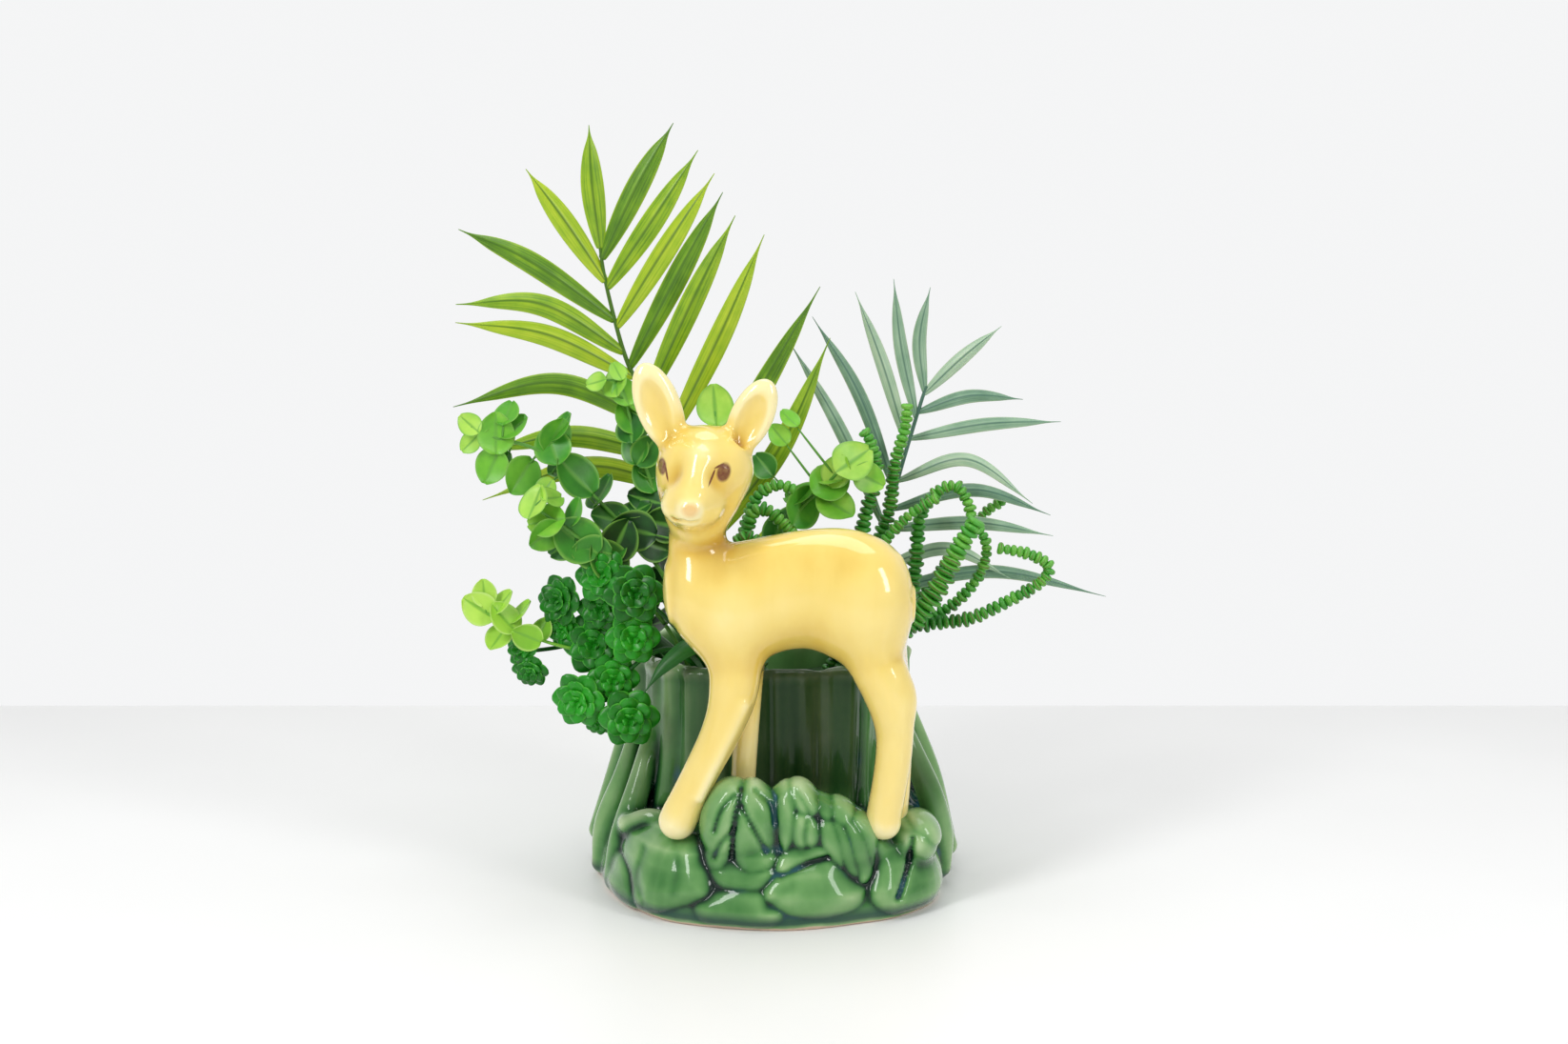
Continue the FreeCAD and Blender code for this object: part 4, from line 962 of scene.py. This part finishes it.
# stems and leaves as routes of (X, Y, Z); a palm leaflet runs from the stem to its tip
PALM_STEM = [(-12, 8, 72), (-17, 16, 105), (-24, 22, 128), (-36, 24, 167), (-47, 25, 201),
             (-57, 26, 225), (-67, 26, 244), (-73, 25, 259), (-78, 24, 278), (-82, 22, 297),
             (-84, 20, 313)]
PALM_LEAFLETS = [
    [(-84, 20, 309), (-87, 17, 342), (-88, 15, 370)],
    [(-83, 22, 295), (-102, 18, 325), (-119, 15, 349)],
    [(-80, 23, 275), (-118, 18, 304), (-152, 12, 320)],
    [(-75, 25, 257), (-112, 16, 283), (-153, 4, 284)],
    [(-70, 26, 246), (-110, 17, 268), (-154, 8, 275)],
    [(-57, 26, 222), (-105, 22, 244), (-157, 14, 233)],
    [(-52, 25, 205), (-98, 20, 218), (-143, 14, 210)],
    [(-46, 25, 190), (-92, 24, 202), (-144, 18, 186)],
    [(-83, 21, 306), (-64, 16, 342), (-47, 14, 371)],
    [(-80, 23, 290), (-56, 14, 326), (-35, 10, 358)],
    [(-77, 24, 272), (-50, 14, 312), (-27, 8, 347)],
    [(-70, 26, 251), (-44, 14, 300), (-23, 6, 338)],
    [(-63, 26, 236), (-38, 12, 286), (-17, 4, 327)],
    [(-52, 26, 216), (-24, 10, 270), (-3, 2, 318)],
    [(-40, 24, 182), (-6, 12, 240), (24, 2, 293)],
    [(-33, 24, 158), (4, 14, 212), (29, 6, 268)],
    [(-28, 23, 140), (10, 12, 178), (34, 2, 205)],
]

AREC_STEM = [(30, 4, 72), (38, 14, 98), (46, 20, 118), (51, 22, 142), (56, 23, 166), (63, 23, 195),
             (70, 22, 220), (75, 21, 237), (77, 20, 243)]
AREC_LEAFLETS = [
    [(76, 20, 240), (73, 18, 266), (78, 15, 292)],
    [(76, 20, 239), (94, 17, 257), (113, 13, 273)],
    [(73, 21, 228), (98, 18, 238), (124, 12, 237)],
    [(70, 22, 214), (106, 18, 224), (143, 12, 226)],
    [(64, 23, 197), (97, 14, 207), (129, 6, 186)],
    [(61, 23, 182), (101, 20, 191), (139, 14, 179)],
    [(58, 23, 168), (101, 22, 174), (141, 18, 168)],
    [(53, 22, 150), (88, 22, 161), (120, 20, 146)],
    [(50, 22, 137), (110, 24, 149), (169, 24, 136)],
    [(72, 22, 226), (64, 20, 262), (60, 16, 296)],
    [(68, 22, 212), (55, 18, 254), (41, 12, 290)],
    [(62, 23, 192), (43, 16, 240), (20, 10, 278)],
    [(57, 23, 172), (34, 18, 222), (8, 12, 267)],
]

# stem, then round leaves as (X, Y, Z, radius, facing X, facing Z)
SPRAYS = {
    "eucalyptus_spray_1": ([
    (-34, -8, 74), (-40, -8, 110), (-51, -9, 150), (-74, -10, 180), (-96, -12, 202), (-114, -14, 216),
    (-135, -16, 222), (-144, -18, 227)], [
    (-144, -18, 228, 5.5, -0.3, 0.4), (-132, -16, 223, 9, 0.1, 0.3), (-134, -16, 208, 8, -0.3, 0.3),
    (-120, -15, 203, 9, 0.2, 0.1), (-105, -13, 216, 9, 0.2, 0.5), (-94, -13, 202, 11, 0.3, 0.2),
    (-77, -11, 181, 9, 0.4, 0.4)]),
    "eucalyptus_spray_2": ([
    (-37, -12, 74), (-39, -14, 104), (-52, -21, 132), (-74, -27, 158), (-93, -30, 176),
    (-112, -32, 190)], [
    (-112, -32, 192, 8, -0.2, 0.4), (-107, -32, 177, 8, 0.2, 0.1), (-92, -30, 174, 11, 0.2, 0.3),
    (-78, -27, 163, 10, 0.3, 0.2), (-62, -23, 146, 9, 0.3, 0.3)]),
    "eucalyptus_spray_3": ([
    (-26, 2, 74), (-34, 2, 110), (-46, 2, 150), (-57, 2, 191), (-66, 0, 219), (-71, -3, 241),
    (-73, -4, 248)], [
    (-75, -4, 246, 7, -0.3, 0.3), (-69, -1, 229, 8, 0.3, 0.2), (-66, 0, 214, 7.5, -0.2, 0.1),
    (-61, 2, 200, 8, 0.3, 0.2)]),
    "eucalyptus_spray_4": ([
    (-16, -8, 74), (-24, -9, 112), (-29, -9, 153), (-27, -10, 192), (-26, -10, 216),
    (-27, -10, 234)], [
    (-27, -10, 236, 9, 0.0, 0.3), (-24, -10, 220, 8, 0.4, 0.1)]),
    "eucalyptus_spray_5": ([
    (2, -2, 74), (-4, -2, 108), (-7, -3, 148), (3, -4, 172), (15, -6, 186), (28, -8, 199),
    (36, -10, 207)], [
    (39, -10, 209, 10, 0.3, 0.4), (28, -8, 198, 9.5, -0.2, 0.3), (15, -6, 186, 10, 0.3, 0.1),
    (3, -4, 174, 8, -0.3, 0.2)]),
    "lime_sprig": ([
    (-45, 0, 74), (-48, -1, 106), (-61, -8, 119), (-82, -20, 117), (-110, -26, 124),
    (-137, -27, 138)], [
    (-140, -27, 140, 8, -0.3, 0.4), (-128, -28, 135, 8, 0.2, 0.5), (-117, -30, 127, 7, 0.2, -0.2)]),
}

ROSETTE_STEMS = {
    "rosette_spray_1": [
    (-49, 9, 74), (-53, 7, 104), (-64, 1, 120), (-80, -7, 130), (-98, -14, 142),
    (-104, -17, 146)],
    "rosette_spray_2": [
    (-52, 20, 74), (-56, 18, 104), (-68, 13, 118), (-90, 2, 118), (-106, -10, 117),
    (-119, -18, 117)],
    "rosette_spray_3": [
    (-32, -20, 74), (-34, -21, 104), (-46, -25, 119), (-60, -28, 117), (-74, -31, 105),
    (-90, -31, 95)],
    "rosette_spray_4": [
    (-26, -16, 74), (-29, -18, 104), (-44, -25, 128), (-60, -31, 146)],
}
# further leaves: X, Y, Z, radius, facing X, facing Z, freshness of the colour
EXTRA_LEAVES = {
    "eucalyptus_spray_1": [(-144, -17, 219, 5, -0.2, 0.1, 0.9), (-129, -13, 209, 5.5, -0.5, 0.5, 0.4),
                           (-104, -12, 222, 8, 0.3, -0.2, 0.55), (-108, -20, 197, 5.5, -0.2, 0.3, 0.85)],
    "eucalyptus_spray_2": [(-106, -31, 183, 8.5, -0.3, 0.5, 0.8), (-99, -27, 171, 7.5, -0.4, 0.1, 0.2),
                           (-85, -30, 168, 8.5, 0.1, 0.1, 0.45), (-73, -22, 172, 9.5, 0.3, 0.2, 0.05)],
    "eucalyptus_spray_3": [(-71, -4, 242, 6.5, 0.2, 0.3, 0.7), (-84, -4, 247, 5, -0.5, 0.4, 0.9),
                           (-74, -5, 252, 4.5, 0.2, 0.5, 0.9), (-68, -4, 224, 7.5, -0.3, 0.6, 0.25),
                           (-61, -1, 189, 8, 0.1, 0.6, 0.10), (-61, -3, 213, 7.5, 0.2, 0.1, 0.3)],
    "eucalyptus_spray_4": [(-52, -8, 178, 9, 0.3, 0.1, 0.06), (-58, -10, 168, 8.5, 0.4, 0.3, 0.15),
                           (-47, -6, 160, 9, 0.1, 0.2, 0.04), (-66, -14, 176, 10, 0.1, 0.1, 0.05),
                           (-54, -4, 148, 9, -0.2, 0.1, 0.04), (-44, -6, 140, 8, 0.2, 0.1, 0.04)],
    "eucalyptus_spray_5": [(32, -9, 204, 7.5, -0.3, 0.1, 0.9), (47, -9, 201, 7.5, 0.2, 0.2, 0.85),
                           (31, -11, 188, 9, 0.1, 0.7, 0.8), (9, -4, 229, 5, 0.4, 0.8, 0.75),
                           (4, -4, 221, 5.5, 0.2, 0.4, 0.8), (-3, -3, 206, 6.5, -0.3, 0.3, 0.35)],
    "lime_sprig": [(-138, -25, 147, 6, 0.2, 0.1, 0.9), (-131, -28, 126, 6.5, -0.1, 0.8, 0.75)],
}
# rosettes as (X, Y, Z, radius, turn about Z, tilt)
ROSETTES = {
    "rosette_spray_1": [(-103, -21, 143, 13, -35, 10), (-86, -24, 122, 15.5, -5, 10),
                        (-101, -19, 128, 10, -30, 0)],
    "rosette_spray_2": [(-121, -20, 120, 10, -40, 20), (-117, -22, 108, 9.5, -15, -25)],
    "rosette_spray_3": [(-93, -33, 96, 14, -20, -5), (-68, -36, 88, 15, 5, -5),
                        (-83, -29, 85, 9.5, -10, -30), (-76, -30, 106, 13, 0, 0)],
    "rosette_spray_4": [(-65, -35, 149, 15, 10, 10), (-81, -31, 157, 13.5, -15, 20),
                        (-66, -33, 127, 13.5, 8, 5), (-82, -27, 140, 12, -10, 5)],
}
STRAP_LEAVES = {
    "strap_leaf_1": [(-20, -22, 80), (-22, -23, 108), (-35, -31, 123), (-50, -38, 115),
                     (-61, -42, 101)],
    "strap_leaf_2": [(-41, -6, 80), (-44, -8, 106), (-56, -16, 122), (-68, -21, 124),
                     (-78, -24, 112)],
}
VINES = (
    [(37, -9, 74), (39, -9, 106), (50, -11, 122), (64, -13, 127), (74, -14, 137), (83, -14, 151),
     (91, -14, 167), (99, -14, 180)],
    [(41, -2, 74), (43, -3, 107), (56, -4, 123), (78, -5, 128), (98, -6, 131), (117, -6, 140),
     (132, -6, 149), (136, -6, 157), (126, -6, 163), (111, -6, 166)],
    [(44, 6, 74), (46, 5, 107), (60, 4, 122), (78, 3, 129), (92, 2, 138), (103, 1, 152),
     (106, 1, 166), (101, 1, 176)],
    [(49, 26, 74), (51, 25, 106), (62, 28, 121), (80, 29, 140), (93, 28, 160), (107, 27, 178),
     (119, 26, 186)],
    [(47, 14, 74), (49, 13, 106), (60, 12, 121), (69, 11, 136), (72, 11, 158), (74, 11, 180),
     (83, 10, 192), (92, 10, 194), (98, 10, 184), (100, 10, 172)],
    [(30, -15, 74), (36, -15, 108), (45, -5, 146), (55, 0, 167), (68, 2, 181), (81, 3, 189)],
    [(28, -6, 74), (36, -2, 108), (42, 3, 150), (46, 4, 179), (52, 4, 200), (49, 4, 216),
     (45, 4, 223)],
    [(20, 10, 74), (32, 6, 108), (46, 9, 150), (58, 12, 180), (61, 12, 204), (66, 12, 223),
     (67, 12, 235)],
    [(-4, -12, 74), (-12, -12, 110), (-17, -12, 152), (-9, -13, 188), (2, -14, 198), (12, -15, 196)],
    [(4, -16, 74), (-6, -17, 110), (-14, -18, 150), (-10, -19, 182), (-2, -20, 187), (10, -21, 176)],
    [(-10, -20, 74), (-16, -22, 110), (-20, -24, 155), (-14, -26, 174), (-6, -27, 172),
     (-4, -27, 163)],
)
# half width of each vine's pads at its root
VINE_WIDTHS = (8.4, 5.2, 4.8, 4.8, 5.4, 5.0, 5.8, 5.6, 5.2, 5.8, 5.8)


def palm_frond(name, stem, radius, leaflets, width, paint, fold):
    """A frond: its stem and one long leaf for each route."""
    leaves = Leaves(name + "_leaves")
    path = stem_path(stem)
    leaves.tube(path, radius, 0.9, 8, kind=0.15)
    for i, points in enumerate(leaflets):
        root = nearest_on(path, points[0])
        shade = 0.45 + 0.25 * math.sin(i * 2.1)
        facing = Vector((0.15 * math.sin(i * 1.7), -1, 0.35))
        long_leaf(leaves, [tuple(root)] + points[1:], width, facing, shade, fold)
    leaves.finish(paint, "arrangement", name)


def leafy_spray(name, stem, discs, paint, bright):
    """A stem with round leaves in loose pairs, freshest at its tip."""
    leaves = Leaves(name + "_leaves")
    path = stem_path(stem)
    leaves.tube(path, 1.3, 0.8, 8, kind=0.30)
    chance = random.Random(name)
    lengths = [(p - path[0]) @ (p - path[0]) for p in path]
    for x, y, z, radius, facing_x, facing_z in discs:
        centre = Vector((x, y, z))
        root = nearest_on(path, centre - Vector((0, 0, radius * 0.6)))
        share = max(l for p, l in zip(path, lengths) if (Vector(p) - root).length < 1) / max(lengths)
        kind = min(0.95, 0.08 + bright * share ** 1.6 + chance.uniform(-0.06, 0.06))
        turn = chance.uniform(-0.45, 0.45)
        facing = Vector((facing_x + turn, -0.85, facing_z + chance.uniform(-0.3, 0.3)))
        if (centre - root).length < radius * 0.7:
            root = nearest_on(path, root - Vector((0.2, 0, 0.8)) * radius * 0.7)
        round_leaf(leaves, centre, root, radius, facing, kind)
        other = root + (root - centre) * 0.75 + Vector((chance.uniform(-3, 3), 3.5, 2.5))
        if (other - centre).length < radius * 1.1:
            other = root + Vector((radius * 0.9, 3, radius * 0.5))
        turned = Vector((-facing.x - turn, -0.55, facing.z + 0.5))
        round_leaf(leaves, other, root, radius * 0.82, turned, max(0.04, kind - 0.12))
    for x, y, z, radius, facing_x, facing_z, kind in EXTRA_LEAVES[name]:
        root = nearest_on(path, (x, y + 2, z - radius * 0.5))
        round_leaf(leaves, (x, y, z), root, radius, (facing_x, -0.85, facing_z), kind)
    leaves.finish(paint, "arrangement", name)


def rosette(leaves, centre, radius, turn, tilt, kind):
    """A succulent rosette: rings of thick rounded petals, smaller and steeper inwards."""
    aim = Matrix.Rotation(math.radians(turn), 3, "Z") @ Matrix.Rotation(math.radians(90 - tilt), 3, "X")
    centre = Vector(centre)
    rings = ((6, 1.00, 6, 0.0), (6, 0.78, 24, 0.5), (5, 0.56, 44, 0.2), (3, 0.34, 64, 0.7))
    for count, reach, rise, offset in rings:
        for k in range(count):
            angle = 2 * math.pi * (k + offset) / count
            out = Vector((math.cos(angle), math.sin(angle), 0))
            lift = math.radians(rise)
            along = out * math.cos(lift) + Vector((0, 0, 1)) * math.sin(lift)
            side = Vector((-out.y, out.x, 0))
            up = side.cross(along) * -1
            length = radius * reach
            half = length * (0.42 if count == 6 else 0.48)
            rows = []
            for i in range(7):
                share = i / 6
                wide = half * (0.35 + 0.75 * math.sin(math.pi * min(1, share * 0.93 + 0.05)) ** 0.7)
                wide *= 1 if share < 1 else 0.45
                row = []
                for j in range(5):
                    across = j / 2 - 1
                    cup = 0.34 * wide * across * across + 0.16 * length * share * share
                    spot = along * length * share + side * wide * across + up * -cup
                    row.append(centre + aim @ spot)
                rows.append(row)
            leaves.sheet(rows, 1.5, kind + 0.10 * (1 - reach) + 0.05 * math.sin(k * 2.4))


def rosette_spray(name, stem, heads, paint):
    leaves = Leaves(name + "_petals")
    path = stem_path(stem)
    leaves.tube(path, 1.5, 1.1, 8, kind=0.1)
    for i, (x, y, z, radius, turn, tilt) in enumerate(heads):
        root = nearest_on(path, (x, y, z))
        leaves.tube([root, root.lerp(Vector((x, y, z)), 0.5) + Vector((0, 2, 0)), (x, y + 1, z)],
                    1.2, 1.4, 8, kind=0.1)
        rosette(leaves, (x, y, z), radius, turn, tilt, 0.35 + 0.12 * math.sin(i * 3 + z))
    leaves.finish(paint, "arrangement", name)


PAD_PITCH, PAD_HALF = 3.0, 1.75


def button_vine(name, points, paint, thick):
    """A cord threaded through flattened pairs of plump pads, each turned from the last."""
    leaves = Leaves(name + "_pads")
    path = [Vector(p) for p in curve_points(points, 400)]
    gone, total = 0.0, sum((b - a).length for a, b in zip(path, path[1:]))
    leaves.tube(path[::10] + [path[-1]], 1.2, 0.8, 6, kind=0.2)
    chance = random.Random(name)
    due, index = 4.0, 0
    for i in range(1, len(path)):
        gone += (path[i] - path[i - 1]).length
        if gone < due:
            continue
        share = gone / total
        way = (path[min(i + 1, len(path) - 1)] - path[i - 1]).normalized()
        across = way.cross(Vector((0, 1, 0))).normalized()
        front = across.cross(way)
        size = thick * (1.0 - 0.42 * share) * chance.uniform(0.93, 1.07)
        turn = math.radians(index % 2 * 90 + chance.uniform(-14, 14))
        u = across * math.cos(turn) + front * math.sin(turn)
        v = front * math.cos(turn) - across * math.sin(turn)
        pad(leaves, path[i], way, u, v, size, 0.25 + 0.6 * share + chance.uniform(-0.12, 0.12))
        due = gone + PAD_PITCH
        index += 1
    leaves.finish(paint, "arrangement", name, level=0)


# a pad's rings from below upwards: reach, height, place on the rim, brightness
PAD_RINGS = ((0.58, -0.86, 0.4, 0.3), (0.92, -0.50, 0.6, 0.4), (1.00, 0.00, 1.0, 1.0),
             (0.93, 0.48, 0.7, 0.6), (0.60, 0.84, 0.4, 0.5))


def pad(leaves, centre, way, u, v, size, kind):
    """One plump lens, longer across u than v, cupped a little towards the tip."""
    count = 10
    points, across, along = [centre - way * PAD_HALF], [0.4], [0.2]
    for reach, height, rim, tone in PAD_RINGS:
        for k in range(count):
            angle = 2 * math.pi * k / count
            spot = u * math.cos(angle) + v * math.sin(angle) * 0.86
            lift = height * PAD_HALF + 0.14 * size * reach * math.cos(angle) ** 2
            points.append(centre + spot * size * reach + way * lift)
            across.append(rim)
            along.append(tone)
    points.append(centre + way * PAD_HALF)
    across.append(0.4)
    along.append(0.5)
    last = len(points) - 1
    faces = [(0, 1 + (k + 1) % count, 1 + k) for k in range(count)]
    for ring in range(len(PAD_RINGS) - 1):
        a, b = 1 + ring * count, 1 + (ring + 1) * count
        faces += [(a + k, a + (k + 1) % count, b + (k + 1) % count, b + k) for k in range(count)]
    faces += [(last - count + k, last - count + (k + 1) % count, last) for k in range(count)]
    leaves.add(points, faces, across, along, kind)


def vine_paint():
    """Green pads with brown-red rims."""
    paint = Paint("vine_plastic").set(Roughness=0.42, Subsurface_Weight=0.1,
                                      Subsurface_Radius=(0.002, 0.004, 0.001))
    tone = paint.add(paint.attribute("kind"), paint.cloud(-0.15, 0.15, 110, 3))
    green = paint.ramp(tone, [(0.0, (0.006, 0.075, 0.008)), (0.35, (0.016, 0.17, 0.014)),
                              (0.65, (0.05, 0.32, 0.028)), (1.0, (0.15, 0.46, 0.05))])
    patch = paint.range(paint.noise(45, 2), 0.40, 0.56)
    rim = paint.times(paint.range(paint.attribute("across"), 0.80, 0.96), patch, 0.8)
    paint.colour(paint.mix(rim, green, (0.10, 0.025, 0.014)))
    return paint.bump(paint.noise(240, 2), 0.08).material


def foliage():
    palm = leaf_paint("palm_plastic", [(0.0, (0.045, 0.13, 0.008)), (0.3, (0.13, 0.29, 0.012)),
                                       (0.55, (0.29, 0.46, 0.018)), (0.8, (0.44, 0.56, 0.03)),
                                       (1.0, (0.58, 0.64, 0.09))],
                      edge=(0.36, 0.52, 0.03), rib=(0.05, 0.13, 0.01))
    blue = leaf_paint("blue_palm_plastic", [(0.0, (0.08, 0.17, 0.11)), (0.3, (0.18, 0.32, 0.21)),
                                            (0.6, (0.32, 0.47, 0.32)), (0.85, (0.46, 0.58, 0.41)),
                                            (1.0, (0.58, 0.67, 0.50))],
                      edge=(0.42, 0.52, 0.34), rib=(0.05, 0.13, 0.10))
    round_paint = leaf_paint("eucalyptus_plastic", [
        (0.0, (0.006, 0.045, 0.008)), (0.25, (0.018, 0.13, 0.012)), (0.5, (0.055, 0.29, 0.022)),
        (0.75, (0.17, 0.49, 0.035)), (1.0, (0.42, 0.68, 0.10))],
        edge=(0.20, 0.45, 0.07), rib=(0.13, 0.36, 0.05), streaks=False)
    lime = leaf_paint("lime_plastic", [(0.0, (0.10, 0.33, 0.02)), (0.5, (0.26, 0.58, 0.035)),
                                       (1.0, (0.46, 0.72, 0.10))],
                      edge=(0.5, 0.72, 0.2), rib=(0.16, 0.42, 0.04), streaks=False)
    petal = leaf_paint("rosette_plastic", [(0.0, (0.003, 0.06, 0.003)), (0.3, (0.008, 0.17, 0.006)),
                                           (0.6, (0.020, 0.33, 0.012)), (1.0, (0.10, 0.50, 0.04))],
                       edge=(0.10, 0.50, 0.05), streaks=False, rough=0.34)
    strap = leaf_paint("dark_leaf_plastic", [(0.0, (0.004, 0.03, 0.005)), (0.5, (0.012, 0.10, 0.012)),
                                             (1.0, (0.04, 0.20, 0.025))], rib=(0.02, 0.12, 0.015))
    palm_frond("palm_frond", PALM_STEM, 2.0, PALM_LEAFLETS, 11.5, palm, 0.20)
    palm_frond("blue_palm_frond", AREC_STEM, 1.7, AREC_LEAFLETS, 7.2, blue, 0.16)
    for name, (stem, discs) in SPRAYS.items():
        if name == "lime_sprig":
            leafy_spray(name, stem, discs, lime, 0.8)
        else:
            leafy_spray(name, stem, discs, round_paint, 0.85)
    for name, stem in ROSETTE_STEMS.items():
        rosette_spray(name, stem, ROSETTES[name], petal)
    for name, points in STRAP_LEAVES.items():
        leaves = Leaves(name + "_blade")
        long_leaf(leaves, points, 11, (0.3, -0.6, 0.8), 0.5, 0.1)
        leaves.finish(strap, "arrangement", name)
    vine = vine_paint()
    for i, (points, thick) in enumerate(zip(VINES, VINE_WIDTHS), start=1):
        button_vine(f"button_vine_{i}", points, vine, thick)


# ---------------------------------------------------------------------------------------
# Lamp fitting, bulb and foam, painted on the CAD's own surfaces
# ---------------------------------------------------------------------------------------

def worn_metal(name, stops, grain):
    """A turned metal part: dulled patches and fine tool marks."""
    paint = Paint(name).set(Metallic=1.0)
    dull = paint.noise(140, 5, 0.6)
    paint.colour(paint.ramp(dull, stops)).rough(paint.range(dull, 0.3, 0.7, 0.46, 0.22))
    return paint.bump(paint.noise(grain, 2, 0.5, (1, 1, 0.1)), 0.10, 0.0003).material


def mottled(name, stops, rough, scale, bump, **settings):
    """A moulded part with soft mottling and a faint skin texture."""
    paint = Paint(name).set(Roughness=rough, **settings)
    cloud = paint.noise(scale, 4, 0.6)
    paint.colour(paint.ramp(cloud, stops))
    return paint.bump(paint.noise(scale * 6, 3), bump, 0.0005).material


def foam_paint():
    """Dark green floral foam, open celled and crumbly."""
    paint = Paint("foam").set(Roughness=0.95)
    cells = paint.node("ShaderNodeTexVoronoi", {"Vector": paint.place(), "Scale": 900.0}).outputs[0]
    tone = paint.add(paint.noise(60, 5, 0.7), paint.times(cells, 0.3))
    paint.colour(paint.ramp(tone, [(0.3, (0.004, 0.018, 0.004)), (0.6, (0.012, 0.05, 0.010)),
                                   (0.9, (0.035, 0.10, 0.022))]))
    return paint.bump(tone, 0.6, 0.0015).material


# colours from dull to clean, then the grain of the tool marks
METALS = {
    "brass": ([(0.30, (0.26, 0.14, 0.04)), (0.50, (0.58, 0.38, 0.13)), (0.75, (0.78, 0.57, 0.24))], 700),
    "plated_steel": ([(0.30, (0.20, 0.19, 0.18)), (0.55, (0.50, 0.50, 0.49)), (0.8, (0.68, 0.68, 0.67))],
                     600),
    "aluminium": ([(0.30, 0.48), (0.55, 0.70), (0.8, 0.82)], 800)}
# colours, roughness, scale of the mottling, strength of the texture, then other settings
MOULDINGS = {
    "liner_paper": ([(0.3, (0.22, 0.15, 0.085)), (0.55, (0.36, 0.26, 0.15)), (0.8, (0.46, 0.35, 0.22))],
                    0.85, 160, 0.25, {}),
    "phenolic": ([(0.3, (0.010, 0.006, 0.004)), (0.55, (0.030, 0.014, 0.008)),
                  (0.8, (0.060, 0.028, 0.014))],
                 0.3, 90, 0.08, {"Coat_Weight": 0.4, "Coat_Roughness": 0.15}),
    "black_rubber": ([(0.3, 0.008), (0.8, 0.030)], 0.7, 120, 0.25, {}),
    "bulb_glass": ([(0.3, (0.86, 0.86, 0.84)), (0.8, (0.95, 0.95, 0.93))], 0.32, 70, 0.03,
                   {"Transmission_Weight": 0.35, "Coat_Weight": 0.6, "Coat_Roughness": 0.05}),
    "mount_glass": ([(0.3, (0.70, 0.76, 0.74)), (0.8, (0.84, 0.88, 0.86))], 0.12, 90, 0.02,
                    {"Transmission_Weight": 0.6})}


def fitting():
    paints = {name: worn_metal(name, *looks) for name, looks in METALS.items()}
    for name, (*looks, settings) in MOULDINGS.items():
        paints[name] = mottled(name, *looks, **settings)
    paints["foam"] = foam_paint()
    for part in frame["record"]["subparts"]:
        slot = part["material_slot"]
        if slot in paints:
            node = frame["nodes"][part["node"]]
            node.data.materials.clear()
            node.data.materials.append(paints[slot])


# ---------------------------------------------------------------------------------------
# Assembly
# ---------------------------------------------------------------------------------------

make_stage()
make_camera()
stump_planter()
fawn()
foliage()
fitting()
